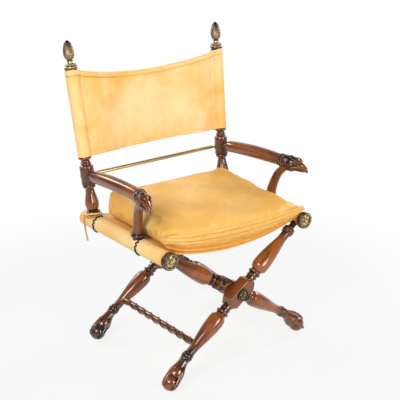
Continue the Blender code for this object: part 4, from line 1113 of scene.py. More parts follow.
class CHAIR_OT_finishes(bpy.types.Operator):
    """Make the finishes and the node trees that the pieces share"""

    bl_idname = "chair.finishes"
    bl_label = "Finishes"

    def execute(self, context):
        colours = context.scene.chair_colours
        wood_finish("polished_mahogany", colours, True)
        wood_finish("rail_mahogany", colours, False)
        leather_finish("tan_leather", colours, -0.02)
        leather_finish("cushion_hide", colours, -0.26)
        brass_finish("antique_brass", colours.brass_bright, colours.brass_dark, 0.4, 0.26)
        brass_finish("browned_brass", colours.brass_brown, colours.brass_dark, 0.1, 0.40)
        brass_finish("rod_brass", colours.brass_rod, colours.brass_brown, 0.7, 0.22)
        steel_finish("plain_steel", colours)
        thread_finish("tan_thread", tuple(colours.thread))
        thread_finish("black_lacing", tuple(colours.lacing))
        copies_tree()
        stitches_tree()
        for word, _ in SIDES:
            dress_solid(word + "_rail", "rail_mahogany")
            dress_solid(word + "_pivot_rod", "plain_steel")
            dress_solid(word + "_rod_stud", "antique_brass")
        for word in FRAMES:
            for part in ("bolt", "washer", "nut"):
                dress_solid(f"{word}_pivot_{part}", "plain_steel")
        return {"FINISHED"}


def dress_solid(node, finish):
    """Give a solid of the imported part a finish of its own."""
    solid = frame["nodes"][node]
    solid.data.materials.clear()
    solid.data.materials.append(bpy.data.materials[finish])


class CHAIR_OT_legs(bpy.types.Operator):
    """Make the four turned legs with carved feet and the two twisted stretchers"""

    bl_idname = "chair.legs"
    bl_label = "Legs and stretchers"

    def execute(self, context):
        sizes = context.scene.chair_sizes
        for word, (face, plane, splay) in FRAMES.items():
            make_leg(f"outer_{word}_leg", "outer_legs", 1, face, plane, splay, sizes)
            make_leg(f"inner_{word}_leg", "inner_legs", -1, face, plane - LEG_PITCH, splay, sizes)
        make_stretcher("outer_stretcher", "outer_legs", 1)
        make_stretcher("inner_stretcher", "inner_legs", -1)
        return {"FINISHED"}


class CHAIR_OT_hubs(bpy.types.Operator):
    """Make the cast rosettes on the two hubs"""

    bl_idname = "chair.hubs"
    bl_label = "Hub rosettes"

    def execute(self, context):
        for word, (face, plane, _) in FRAMES.items():
            front = Vector((0, face * (plane + BLOCK_SIZE.y / 2 + FIT), HUB_HEIGHT))
            make_rosette(f"{word}_hub_rosette", aim(front, (0, face, 0), (0, 0, 1)), HUB_ROSETTE_RADIUS,
                         HUB_ROSETTE_HEIGHT, 6, "outer_legs", "browned_brass")
        return {"FINISHED"}


def cover_mesh(side):
    """Leather wrapped round a rail, open where the legs swing, as an outer skin that is then thickened."""
    slot_half = asin((EYE_RADIUS + FIT) / COVER_RADIUS)
    start = -REST_SLOPE + slot_half
    end = -FOLDED_SLOPE - slot_half
    angles = np.unique(np.concatenate((np.linspace(start, end, 14), np.linspace(start, end + 2 * pi, 42))))
    angles = angles[:-1]
    inset = 0 if side > 0 else LEG_PITCH
    pins = [face * (plane - inset - UPPER_LENGTH * tan(splay)) for face, plane, splay in FRAMES.values()]
    half = EYE_WIDTH / 2 + FIT
    limits = [pin + sign * half for pin in pins for sign in (-1, 1)]
    rows = np.unique(np.concatenate((np.linspace(-RAIL_FRONT, RAIL_REAR + COVER_LEATHER, 60), limits)))
    slack = 0.0004
    wave = 0.00022 * np.sin(3 * angles + 40 * rows[:, None]) + 0.00015 * np.sin(95 * rows[:, None] + angles)
    radius = COVER_RADIUS + wave - slack
    x = side * (HALF_SPACING - radius * np.cos(angles))
    y = np.broadcast_to(rows[:, None], radius.shape)
    points = np.stack((x, y, RAIL_HEIGHT + radius * np.sin(angles)), 2)
    count = len(angles)
    faces = []
    for i in range(len(rows) - 1):
        between = (rows[i] + rows[i + 1]) / 2
        in_row = any(abs(between - pin) < half for pin in pins)
        for k in range(count):
            angle = angles[k] + 0.001
            if in_row and end <= angle <= start:
                continue
            j = (k + 1) % count
            faces.append((i * count + k, i * count + j, (i + 1) * count + j, (i + 1) * count + k))
    edge = np.minimum(rows + RAIL_FRONT, RAIL_REAR - rows)
    tone = np.broadcast_to((smoothstep(edge, 0.0, 0.02) - 0.68)[:, None], radius.shape).ravel()
    form = Form().add(points, faces, tone=tone)
    thing = loose_object("cover", build_mesh("cover", form))
    middle = Vector((side * HALF_SPACING, 0, RAIL_HEIGHT))
    first = thing.data.polygons[0]
    outward = (Vector(first.center) - middle) * Vector((1, 0, 1))
    thick = thing.modifiers.new("leather", "SOLIDIFY")
    thick.thickness = COVER_LEATHER - slack
    thick.offset = -1 if first.normal.dot(outward) > 0 else 1
    return plain_copy(thing)


def whip_frames(side, y, sizes):
    """Places of the short crossing stitches that lace a slit round the outer side of a rail."""
    frames = []
    start, end = LACING_ENDS
    count = round((start - end) * COVER_RADIUS / sizes.lacing_pitch)
    for k in range(count + 1):
        angle = start + (end - start) * k / count
        outward = Vector((side * cos(angle), 0, sin(angle)))
        along = Vector((side * sin(angle), 0, -cos(angle)))
        spot = Vector((side * HALF_SPACING, y, RAIL_HEIGHT)) + outward * (COVER_RADIUS + 0.0006)
        lean = LACING_LEAN if k % 2 else -LACING_LEAN
        across = (Vector((0, 1, 0)) * cos(lean) + along * sin(lean)).normalized()
        frames.append(frame_of(spot, across, outward.cross(across), outward))
    return frames


def make_rail(word, side, body, sizes):
    """Leather cover, turned cap and rosette of a rail, and the black lacing on its cover."""
    place_piece(word + "_rail_leather", cover_mesh(side), "tan_leather", body, [word + "_rail_cover"])
    arch = [Vector((LACING_HALF * u, 0, 0.0010 * (1 - u * u))) for u in np.linspace(-1, 1, 7)]
    stitch = Form().tube(arch, [0.0014, 0.0021, 0.0024, 0.0024, 0.0024, 0.0021, 0.0014], sides=8)
    frames = [spot for y in LACING_ROWS for spot in whip_frames(side, y, sizes)]
    place_copies(word + "_rail_lacing", stitch, "black_lacing", body, frames)
    cap_frame = aim((side * HALF_SPACING, -RAIL_FRONT - FIT, RAIL_HEIGHT), (0, -1, 0), (0, 0, 1))
    floor = 0.78
    recess = (ROSETTE_RADIUS + FIT) / CAP_RADIUS
    cap = Turning(0, 0).to(0.90, 0).bead(0.20, 0.02).to(0.93, 0.22).bead(0.60, 0.07).to(0.88, 0.64)
    cap.to(0.93, 0.69).curve((0.97, 0.80), (0.94, 0.94), (0.5 * (recess + 0.97), 1), (recess, 0.93))
    cap.to(recess, floor).to(0, floor)
    form = Form().turned(cap.sized(CAP_RADIUS, CAP_LENGTH))
    place_piece(word + "_turned_cap", form, "polished_mahogany", body, [word + "_rail_cap"], cap_frame,
                shade_depth=PIECE_SHADE["cap"])
    bed = cap_frame @ Matrix.Translation((0, 0, floor * CAP_LENGTH + FIT))
    make_rosette(word + "_rail_rosette", bed, ROSETTE_RADIUS, ROSETTE_HEIGHT, 8, body, "antique_brass")


class CHAIR_OT_rails(bpy.types.Operator):
    """Make the leather covers, lacing, caps and rosettes of the two seat rails"""

    bl_idname = "chair.rails"
    bl_label = "Rails"

    def execute(self, context):
        for word, side in SIDES:
            make_rail(word, side, word + "_side", context.scene.chair_sizes)
        return {"FINISHED"}


def post_direction(side):
    """Unit vector up a raked and splayed post."""
    return Vector((side * tan(POST_SPLAY), tan(POST_RAKE), 1)).normalized()


def post_point(side, height, back=0):
    """Point at a height along a post's axis, or behind it."""
    base = Vector((side * HALF_SPACING, POST_Y, COVER_TOP))
    return base + post_direction(side) * height + POST_BACK * back


def post_outline():
    """Turning of a post from its top down to its saddle on the rail."""
    line = Turning(0, CROWN_LOW).to(SLEEVE_RADIUS - 0.0018, CROWN_LOW).bead(SLING_HIGH + FIT, 0.0018)
    line.to(POST_SHAFT, SLING_HIGH + FIT).to(POST_SHAFT, SLING_LOW - FIT)
    line.to(SLEEVE_RADIUS - 0.0020, SLING_LOW - FIT).bead(SLING_LOW - 0.0065, 0.0020)
    line.curve((0.0150, SLING_LOW - 0.010), (0.0138, SLING_LOW - 0.014), (0.0142, SLING_LOW - 0.018))
    line.to(0.0150, SLING_LOW - 0.0185).bead(SLING_LOW - 0.0235, 0.0026)
    line.curve((0.0158, SLING_LOW - 0.0260), (0.0205, SLING_LOW - 0.0290), (POST_BLOCK, SLING_LOW - 0.0315))
    line.to(POST_BLOCK, 0.1520).bead(0.1495, -0.0011).to(POST_BLOCK, 0.1080).bead(0.1055, -0.0011)
    line.to(POST_BLOCK, 0.0985).to(0.0189, 0.0965).bead(0.0885, 0.0016)
    line.curve((0.0150, 0.0845), (0.0142, 0.0800), (0.0169, 0.0640), (0.0206, 0.0480), (POST_BELLY, 0.0340),
               (0.0200, 0.0210), (0.0158, 0.0125))
    line.to(0.0205, 0.0105).bead(0.0015, POST_COLLAR - 0.0205)
    line.to(0.0170, 0.0008).to(0.0170, -0.013).to(0, -0.013)
    return line.rows


def saddled(mesh, matrix):
    """Fit the foot of a piece to the round of its rail."""
    spots = moved(points_of(mesh), matrix)
    side = np.sign(spots[:, 0].mean())
    x = spots[:, 0] - side * HALF_SPACING
    top = RAIL_HEIGHT + np.sqrt(np.maximum((COVER_RADIUS + FIT) ** 2 - x * x, 0))
    spots[:, 2] = np.maximum(spots[:, 2], top)
    put_points(mesh, moved(spots, matrix.inverted()))
    return mesh


def cone_frames():
    """Places of the scales of a pinecone, in rows that are set half a step apart."""
    frames = []
    for row in range(CONE_ROWS):
        share = (row + 0.30) / CONE_ROWS
        radius = CONE_RADIUS * cone_swell(share)
        slope = (cone_swell(share + 0.03) - cone_swell(share - 0.03)) * CONE_RADIUS / (0.06 * CONE_HEIGHT)
        count = max(6, round(SCALES_AROUND * cone_swell(share)))
        for k in range(count):
            angle = 2 * pi * (k + 0.5 * (row % 2)) / count
            outward = Vector((cos(angle), sin(angle), 0))
            along = (outward * slope + Vector((0, 0, 1))).normalized()
            face = (outward - along * along.dot(outward)).normalized()
            across = along.cross(face)
            spot = outward * (radius * CONE_CORE) + Vector((0, 0, CONE_LOW + share * CONE_HEIGHT - 0.003))
            wide = 2 * pi * radius / count * 1.04
            frames.append(frame_of(spot, along * SCALE_LENGTH, across * wide, face * SCALE_RISE))
    return frames


def cone_swell(share):
    """Radius of the pinecone at a share of its height, as a share of its widest."""
    return float(np.interp(share, (-0.05, 0, 0.06, 0.14, 0.25, 0.36, 0.50, 0.65, 0.80, 0.90, 0.97, 1.02),
                           (0.30, 0.42, 0.70, 0.88, 0.98, 1.0, 0.96, 0.86, 0.68, 0.50, 0.32, 0.14)))


def make_finial(word, matrix, body):
    """Brass crown of leaves and a pinecone on a short stem."""
    high = CROWN_HIGH - CROWN_LOW
    cup = Turning(0, FIT / high).to(0.92, FIT / high).bead(0.20, 0.06).curve((0.80, 0.34), (0.84, 0.55))
    cup.to(0.76, 0.60).to(0.40, 0.66).to(0.36, 0.99).to(0, 0.99)
    crown = Form().turned(cup.sized(CROWN_RADIUS, high, CROWN_LOW))
    place_piece(word + "_cast_crown", crown, "antique_brass", body, [word + "_finial_crown"], matrix)
    leaves = []
    for angle in angles_round(CROWN_LEAVES):
        outward = Vector((cos(angle), sin(angle), 0))
        along = (outward * 0.22 + Vector((0, 0, 1))).normalized()
        across = Vector((-sin(angle), cos(angle), 0))
        face = along.cross(across) * -1
        spot = outward * 0.80 * CROWN_RADIUS + Vector((0, 0, CROWN_LOW + 0.12 * high))
        leaves.append(frame_of(spot, along * LEAF_LENGTH, across * LEAF_WIDTH, face * LEAF_RISE))
    place_copies(word + "_crown_leaves", petal_shape(1, 1, 1, 0.3), "antique_brass", body, leaves, matrix)
    stem = Turning(0, CROWN_HIGH + FIT).to(0.0098, CROWN_HIGH + FIT).bead(CROWN_HIGH + 0.003, 0.0008)
    stem.curve((0.0060, CROWN_HIGH + 0.0050), (0.0060, CONE_LOW - 0.002), (0.0088, CONE_LOW))
    for k in range(1, 15):
        stem.to(CONE_CORE * CONE_RADIUS * cone_swell(k / 14), CONE_LOW + 0.97 * CONE_HEIGHT * k / 14)
    stem.to(0, CONE_LOW + 0.985 * CONE_HEIGHT)
    mesh = build_mesh(word + "_cone", Form().turned(stem.rows, sides=32))
    stain_evenly(mesh, np.where(points_of(mesh)[:, 2] > CONE_LOW, CONE_PATINA, STEM_PATINA))
    place_piece(word + "_cone", mesh, "browned_brass", body, [word + "_finial"], matrix, marked=True)
    place_copies(word + "_cone_scales", scale_shape(), "browned_brass", body, cone_frames(), matrix)


def scale_shape():
    """Pinecone scale of unit size, along local X to its tip, facing local Z."""
    side = [(-1, -0.25), (-0.8, 0.45), (-0.3, 0.85), (0, 1), (0.3, 0.85), (0.8, 0.45), (1, -0.25), (0, -0.4)]
    rows = [(0, 0.30, 0.10), (0.25, 0.47, 0.34), (0.55, 0.50, 0.62), (0.80, 0.34, 0.80), (1.0, 0.05, 0.66)]
    return Form().skin([np.array([(t, half * u, rise * v) for u, v in side]) for t, half, rise in rows])


class CHAIR_OT_posts(bpy.types.Operator):
    """Make the turned back posts with their brass crowns and pinecones"""

    bl_idname = "chair.posts"
    bl_label = "Posts and finials"

    def execute(self, context):
        for word, side in SIDES:
            matrix = aim(post_point(side, 0), post_direction(side))
            mesh = build_mesh(word + "_post", Form().turned(post_outline(), sides=96))
            points = points_of(mesh)
            reed = np.cos(POST_REEDS * np.arctan2(points[:, 1], points[:, 0]))
            belly = smoothstep(points[:, 2], 0.012, 0.030) * (1 - smoothstep(points[:, 2], 0.060, 0.082))
            points[:, :2] *= (1 + REED_DEPTH * belly * (reed - 1))[:, None]
            put_points(mesh, points)
            mesh = saddled(mesh, matrix)
            place_piece(word + "_turned_post", mesh, "polished_mahogany", word + "_side", [word + "_post"],
                        matrix, shade_depth=PIECE_SHADE["post"])
            make_finial(word, matrix, word + "_side")
        return {"FINISHED"}


def arm_ends(side):
    """Start of an arm on its post's axis, and the front end of its turned part."""
    start = post_point(side, ARM_AT)
    end = Vector((start.x + side * ARM_FLARE, -ARM_FRONT, start.z + ARM_RISE))
    return start, end


def head_frame(side):
    """Frame of a bird head: local Z out along the beak, local Y up."""
    start, end = arm_ends(side)
    along = (end - start).normalized()
    out = Vector((side * sin(HEAD_TURN), -cos(HEAD_TURN), 0))
    return aim(end + along * ARM_COLLAR_LENGTH, out, (0, 0, 1))


def head_form():
    """Neck, skull, breast, brows, eyes and hooked beak of a bird head, along local Z, with local Y up."""
    form = Form()
    neck = Turning(0, 0.014).to(0.0188, 0.014).curve((0.0202, 0.026), (0.0190, 0.040)).to(0, 0.042)
    form.turned(neck.rows)
    for radii, rise, along, sides in (((0.0190, 0.0236, 0.0300), -0.0045, 0.052, 40),
                                      ((0.0165, 0.0160, 0.0240), -0.0150, 0.047, 32),
                                      ((0.0130, 0.0092, 0.0180), 0.0096, 0.062, 28),
                                      ((0.0085, 0.0058, 0.0125), 0.0162, 0.048, 20)):
        form.ball(radii, Matrix.Translation((0, rise, along)), sides)
    beak = smooth_path([(0, -0.0040, 0.064), (0, -0.0072, 0.082), (0, -0.0135, 0.097), (0, -0.0212, 0.1068),
                        (0, -0.0275, 0.1095)], 6)
    height = spread((0.0212, 0.0172, 0.0118, 0.0062, 0.0014), len(beak))
    up = [Vector((0, 1, 0.001))] * len(beak)
    form.tube(beak, 0.66 * height, sides=24, flat=1.515, outward=up)
    jaw = smooth_path([(0, -0.0205, 0.064), (0, -0.0232, 0.084), (0, -0.0248, 0.098)], 5)
    form.tube(jaw, np.linspace(0.0104, 0.0028, len(jaw)), sides=18, flat=0.55, outward=up[:len(jaw)])
    for side in (-1, 1):
        brow = smooth_path([(side * 0.0098, 0.0145, 0.056), (side * 0.0160, 0.0098, 0.070),
                            (side * 0.0100, 0.0046, 0.087)], 6)
        form.tube(brow, spread((0.0020, 0.0044, 0.0016), len(brow)), sides=12)
        form.ball((0.0044,) * 3, Matrix.Translation((side * 0.0156, 0.0026, 0.0725)), 18)
        cheek = smooth_path([(side * 0.0135, -0.0185, 0.050), (side * 0.0172, -0.0098, 0.067),
                             (side * 0.0098, -0.0135, 0.094)], 6)
        form.tube(cheek, spread((0.0020, 0.0038, 0.0016), len(cheek)), sides=12)
        form.ball((0.0018, 0.0013, 0.0028), Matrix.Translation((side * 0.0090, 0.0012, 0.0875)), 10)
    return form


def feathers(points, pitch, around, depth):
    """Depth of overlapping carved feathers at points round local Z: rows along it, some of them around."""
    angle = np.arctan2(points[:, 0], points[:, 1]) / (2 * pi)
    along = points[:, 2] / pitch
    row = np.floor(along)
    share = along - row
    column = angle * around + 0.5 * np.mod(row, 2)
    across = np.abs(2 * (column - np.floor(column)) - 1)
    tip = 0.55 * np.sqrt(np.maximum(1 - (1 - across) ** 2, 0))
    scale = np.where(share > 0.45 * (1 - across), 1.0 - 0.75 * share, 0.12)
    rib = 0.25 * np.exp(-((1 - across) / 0.16) ** 2)
    return depth * (scale * (0.45 + tip) - rib)


def make_head(word, side, body, sizes):
    """Carved bird head with a collar of leaves."""
    mesh = carved(head_form(), 0.85 * sizes.carving_grain, 2)
    points = points_of(mesh)
    normals = normals_of(mesh)
    share = smoothstep(points[:, 2], 0.024, 0.029) * (1 - smoothstep(points[:, 2], 0.062, 0.072))
    depth = feathers(points, FEATHER_PITCH, FEATHERS_AROUND, sizes.feather_depth) * share
    put_points(mesh, points + normals * depth[:, None])
    form = Form()
    add_mesh(form, mesh)
    start, end = arm_ends(side)
    along = (end - start).normalized()
    out = head_frame(side)
    ring = Turning(0, FIT).to(0.84 * ARM_COLLAR, FIT).bead(0.0040, 0.0026).to(0.84 * ARM_COLLAR, 0.0045)
    ring.bead(0.0125, 0.0030).to(0.80 * ARM_COLLAR, 0.0130).bead(ARM_COLLAR_LENGTH, 0.0026)
    ring.to(0, ARM_COLLAR_LENGTH)
    form.turned(ring.rows, out.inverted() @ aim(end + along * HEAD_AHEAD, along), 96, flutes=16, depth=0.055)
    place_piece(word + "_carved_head", form, "polished_mahogany", body, [word + "_arm_head"], out,
                shade_depth=PIECE_SHADE["head"])


def make_support(word, side, body):
    """Curved support from the rail up into the throat of a bird head, with a ringed foot."""
    foot = Vector((side * HALF_SPACING, SUPPORT_Y, COVER_TOP))
    top = head_frame(side) @ THROAT
    rise = top - foot
    path = smooth_path([foot + Vector((0, 0, -0.004)), foot + Vector((0, 0, 0.020)),
                        foot + Vector((0.12 * rise.x, 0.10 * rise.y, 0.40 * rise.z)),
                        foot + Vector((0.48 * rise.x, 0.42 * rise.y, 0.75 * rise.z)), top], 8)
    share = np.linspace(0, 1, len(path))
    form = Form()
    form.tube(path, SUPPORT_FOOT + (SUPPORT_TOP - SUPPORT_FOOT) * share ** 1.4, sides=32)
    ring = Turning(0, 0.018).to(0.0178, 0.018).bead(0.0138, 0.0016).to(0.0190, 0.0134)
    ring.bead(0.0020, SUPPORT_COLLAR - 0.0190).to(0.0178, 0.0016).to(0.0178, -0.013).to(0, -0.013)
    form.turned(ring.rows, Matrix.Translation(foot))
    mesh = saddled(build_mesh(word + "_support", form), Matrix())
    place_piece(word + "_curved_support", mesh, "polished_mahogany", body, [word + "_arm_support"],
                shade_depth=PIECE_SHADE["support"])


class CHAIR_OT_arms(bpy.types.Operator):
    """Make the turned arms, their carved bird heads and their curved supports"""

    bl_idname = "chair.arms"
    bl_label = "Arms"

    def execute(self, context):
        for word, side in SIDES:
            start, end = arm_ends(side)
            length = (end - start).length + HEAD_AHEAD
            line = Turning(0, 0.016).to(ARM_NECK, 0.016).to(ARM_NECK, POST_BLOCK + 0.0105)
            line.bead(POST_BLOCK + 0.0145, 0.0016)
            line.curve((0.80 * ARM_RADIUS, POST_BLOCK + 0.017), (0.96 * ARM_RADIUS, POST_BLOCK + 0.024),
                       (ARM_RADIUS, POST_BLOCK + 0.034))
            line.curve((1.05 * ARM_RADIUS, 0.35 * length), (1.08 * ARM_RADIUS, 0.55 * length),
                       (1.05 * ARM_RADIUS, 0.78 * length), (0.985 * ARM_RADIUS, length - 0.012))
            line.to(0.95 * ARM_RADIUS, length).to(0, length)
            mesh = build_mesh(word + "_arm", Form().turned(line.rows))
            spots = points_of(mesh)
            share = np.clip((spots[:, 2] - POST_BLOCK) / (length - POST_BLOCK), 0, 1)
            spots[:, 1] += 4 * ARM_BOW * share * (1 - share)
            put_points(mesh, spots)
            place_piece(word + "_turned_arm", mesh, "polished_mahogany", word + "_side", [word + "_arm"],
                        aim(start, end - start, (0, 0, 1)), shade_depth=PIECE_SHADE["arm"])
            make_head(word, side, word + "_side", context.scene.chair_sizes)
            make_support(word, side, word + "_side")
        return {"FINISHED"}


class CHAIR_OT_rod(bpy.types.Operator):
    """Make the brass rod with its eye and its open hook"""

    bl_idname = "chair.rod"
    bl_label = "Brass rod"

    def execute(self, context):
        middle = (post_point(-1, ROD_AT, ROD_OFFSET) + post_point(1, ROD_AT, ROD_OFFSET)) / 2
        half = post_point(1, ROD_AT).x
        shank = half - STUD_FLANGE - 4 * FIT
        matrix = aim(middle, (1, 0, 0), POST_BACK)
        form = Form()
        line = Turning(0, -shank).to(0.7 * ROD_RADIUS, -shank).curve((ROD_RADIUS, 0.010 - shank), steps=4)
        line.to(ROD_RADIUS, shank - 0.010).curve((0.7 * ROD_RADIUS, shank), steps=4).to(0, shank)
        form.turned(line.rows, sides=32)
        ring = (ROD_EYE + ROD_BORE) / 2
        wall = (ROD_EYE - ROD_BORE) / 2
        section = [(ring + wall * cos(t), 0.0040 * sin(t)) for t in angles_round(14)]
        eye = matrix.inverted() @ aim(middle + Vector((half, 0, 0)), POST_BACK, (1, 0, 0))
        form.turned(section, eye, 40, ring=True)
        hook = matrix.inverted() @ aim(middle - Vector((half, 0, 0)), POST_BACK, (1, 0, 0))
        sweep = np.linspace(radians(100), radians(-165), 28)
        arc = [Vector((ring * cos(t), ring * sin(t), 0)) for t in sweep]
        form.tube(arc, np.interp(np.linspace(0, 1, 28), (0, 0.8, 1), (wall, wall, 0.45 * wall)), hook, 14)
        mesh = build_mesh("rod", form)
        stain_evenly(mesh, ROD_PATINA)
        place_piece("polished_rod", mesh, "rod_brass", "rod", ["back_rod"], matrix, marked=True)
        return {"FINISHED"}


def seat_height(x):
    """Top of the sagging seat sling at distances from the middle."""
    return SEAM_Z - SEAT_SAG * (1 - (np.minimum(np.abs(x), SEAM_X) / SEAM_X) ** 2)


def sheet_form(middle, thickness, tone):
    """Leather sheet from a grid of middle points, with a thickness and a tone at each of them."""
    rows, columns = thickness.shape
    down = np.gradient(middle, axis=0)
    across = np.gradient(middle, axis=1)
    normal = np.cross(across, down)
    normal /= np.linalg.norm(normal, axis=2)[:, :, None]
    sides = [middle + normal * (sign * thickness / 2)[:, :, None] for sign in (-1, 1)]
    points = np.concatenate([side.reshape(-1, 3) for side in sides])
    total = rows * columns
    faces = []
    for i in range(rows - 1):
        for k in range(columns - 1):
            a = i * columns + k
            quad = (a, a + 1, a + columns + 1, a + columns)
            faces.append(quad)
            faces.append(tuple(total + index for index in reversed(quad)))
    rim = list(range(columns - 1))
    rim += [i * columns + columns - 1 for i in range(rows - 1)]
    rim += [(rows - 1) * columns + k for k in range(columns - 1, 0, -1)]
    rim += [i * columns for i in range(rows - 1, 0, -1)]
    for a, b in zip(rim, rim[1:] + rim[:1]):
        faces.append((b, a, total + a, total + b))
    return Form().add(points, faces, tone=np.concatenate((tone.ravel(), tone.ravel()))), sides


def back_rows(top):
    """Heights of the rows of the back leather, closer at its hems, and their distances to the two edges."""
    low = SLING_LOW + 0.0006
    near_low = np.linspace(0, 0.020, 15)[:, None]
    near_top = np.linspace(0.026, 0, 19)[:, None]
    between = np.linspace(0, 1, 46)[1:-1, None]
    start = low + 0.020
    height = np.concatenate((low + near_low + 0 * top, start + (top - 0.026 - start) * between,
                             top - near_top))
    return height, top - height, height - low


def hem_profile(from_top, from_low, sizes):
    """Thickness and tone of the back leather, with a rolled top hem and a flat lower one; the tone paints
    shade in the stitch grooves and a shadow below the top hem.
    """
    roll = np.clip(from_top / sizes.top_hem, 0, 1)
    fold = np.clip(from_low / sizes.low_hem, 0, 1)
    seam = np.minimum(np.abs(from_top - sizes.top_hem), 0.0012 + np.abs(from_low - sizes.low_hem))
    thickness = SLING_THICKNESS - 0.0006 - 0.0010 * np.exp(-(seam / 0.0016) ** 2)
    thickness = thickness + 0.0042 * np.sin(pi * roll) ** 0.7 + 0.0010 * np.sin(pi * fold) ** 0.7
    # Painted shade in the stitch grooves.
    tone = -0.62 * np.exp(-(seam / 0.0020) ** 2)
    # Painted shadow under the rolled top hem.
    tone = tone - 0.16 * np.exp(-((from_top - sizes.top_hem - 0.004) / 0.007) ** 2)
    return thickness * edge_rounding(np.minimum(from_top, from_low)), tone


def back_sheet(sizes):
    """Grid of the back panel between the flaps: middle points, thickness, tone and edge distances."""
    a = np.linspace(-PANEL_SHARE, PANEL_SHARE, 121)[None, :]
    height, from_top, from_low = back_rows(SLING_HIGH - 0.0012 - BACK_SAG * (1 - a * a))
    share = from_low / (from_low + from_top)
    up = np.array(post_direction(1))
    base = np.array(post_point(1, 0))
    flush = smoothstep(np.abs(a), 0.30, 0.85)
    bow = (BACK_BOW + 0.004) * (1 - a * a) * (1 - flush) - (FLAP_FRONT - 0.0011) * flush
    loose = smoothstep(1 - np.abs(a), 0.15, 0.3)
    wrinkle = 0.0011 * np.sin(9 * a + 3 * share) * np.cos(5 * share - 2 * a) * loose
    pull = 0.0016 * np.exp(-((np.abs(a) - 0.76) / 0.05) ** 2) * np.sin(17 * share + 2)
    droop = 0.0016 * np.exp(-((from_top - 0.040 - 0.012 * a * a) / 0.008) ** 2) * loose
    depth = bow + wrinkle + pull + droop
    middle = base + up * height[:, :, None] + np.array(POST_BACK) * depth[:, :, None]
    middle[:, :, 0] *= a
    thickness, tone = hem_profile(from_top, from_low, sizes)
    worn = 1 - smoothstep(np.hypot(1.05 * a, 1.5 * (share - 0.55)), 0.20, 1.0)
    tone = tone + 0.60 * worn - 0.10 + 0.12 * a
    return middle, thickness, tone, from_top, from_low


def edge_rounding(distance):
    """Share of a sling's thickness at a distance from its edge."""
    return np.sqrt(np.clip(distance / SLING_EDGE_ROUND, 0.05, 1))


def seam_line(points, distance, target):
    """Line across a grid where a distance has a target value, column by column."""
    line = []
    for k in range(points.shape[1]):
        order = np.argsort(distance[:, k])
        line.append([np.interp(target, distance[order, k], points[order, k, axis]) for axis in range(3)])
    return np.array(line)


def make_back(sizes):
    """Back sling with its hems and stitches."""
    middle, thickness, tone, from_top, from_low = back_sheet(sizes)
    form, sides = sheet_form(middle, thickness, tone)
    sheet = place_piece("back_leather", form, "tan_leather", "left_side", ["back_sling"])
    lines = []
    for face in sides:
        lines.append(seam_line(face, from_top, sizes.top_hem - BACK_STITCH_INSET))
        lines.append(seam_line(face, from_low, sizes.low_hem - BACK_STITCH_INSET))
    thread = place_stitches("back_stitches", lines, "left_side", sizes)
    gather(sheet)
    gather(thread)


def make_sleeve(word, side, body, sizes):
    """Leather of the back wrapped round a post, with a flap that runs on into the panel."""
    ring = SLEEVE_RADIUS - 0.0014
    flap = smooth_path([(0.037, FLAP_FRONT), (0.029, FLAP_FRONT), (0.0215, FLAP_FRONT + 0.0002),
                        (0.0165, FLAP_FRONT + 0.0010)], 4)
    wrap = [(ring * cos(t), ring * sin(t)) for t in np.linspace(radians(55), radians(395), 57)]
    line = np.array([tuple(point) for point in (*flap, *wrap)])
    u, v = line.T[:, None, :]
    share = np.clip(1 - u / HALF_SPACING, 0, 1)
    height, from_top, from_low = back_rows(SLING_HIGH - 0.0008 - BACK_SAG * (1 - share * share))
    ripple = 0.0004 * np.sin(120 * height + 2) * np.sin(60 * height + 300 * u)
    swell = 1 + ripple / ring
    middle = np.stack(np.broadcast_arrays(side * u * swell, v * swell, height), 2)
    thickness, tone = hem_profile(from_top, from_low, sizes)
    slim = smoothstep(-u, -0.037, -0.031)
    thickness = np.minimum(thickness, 0.0028) * (0.12 + 0.88 * slim)
    # Painted shade in the valley where the leather leaves the post for the flap.
    tone = tone - 0.20 * np.exp(-((u - 0.0165) / 0.0060) ** 2) * (v > 0)
    form, _ = sheet_form(middle, thickness, tone - 0.05 + 0.12 * side)
    front = aim(post_point(side, 0), post_direction(side), -POST_BACK)
    place_piece(word + "_sleeve", form, "tan_leather", body, [word + "_back_sleeve"], front)


def make_seat(sizes):
    """Seat sling under the cushion, with hems at its front and rear edges."""
    x = np.linspace(-SEAM_X - 0.0008, SEAM_X + 0.0008, 101)[None, :]
    y = np.linspace(-SEAT_FRONT, SEAT_REAR, 91)[:, None]
    z = seat_height(x) - SLING_THICKNESS / 2 - 0.0006 + 0.0004 * np.sin(23 * y + 9 * x)
    middle = np.stack(np.broadcast_arrays(x, y, z), 2)
    edge = np.minimum(y + SEAT_FRONT, SEAT_REAR - y) * np.ones_like(x)
    hem = 1 - smoothstep(edge, 0.014, 0.0165)
    thickness = (SLING_THICKNESS - 0.0008 + 0.0010 * hem) * edge_rounding(edge)
    tone = -0.25 - 0.15 * hem
    form, sides = sheet_form(middle, thickness, tone)
    sheet = place_piece("seat_leather", form, "tan_leather", "left_side", ["seat_sling"])
    lines = []
    for face in sides:
        lines.append(face[np.argmin(np.abs(y[:, 0] + SEAT_FRONT - SEAT_STITCH_INSET))])
        lines.append(face[np.argmin(np.abs(SEAT_REAR - y[:, 0] - SEAT_STITCH_INSET))])
    thread = place_stitches("seat_stitches", lines, "left_side", sizes)
    gather(sheet)
    gather(thread)


class CHAIR_OT_slings(bpy.types.Operator):
    """Make the back sling with its sleeves and the seat sling"""

    bl_idname = "chair.slings"
    bl_label = "Slings"

    def execute(self, context):
        sizes = context.scene.chair_sizes
        for word, side in SIDES:
            make_sleeve(word, side, word + "_side", sizes)
        make_back(sizes)
        make_seat(sizes)
        return {"FINISHED"}


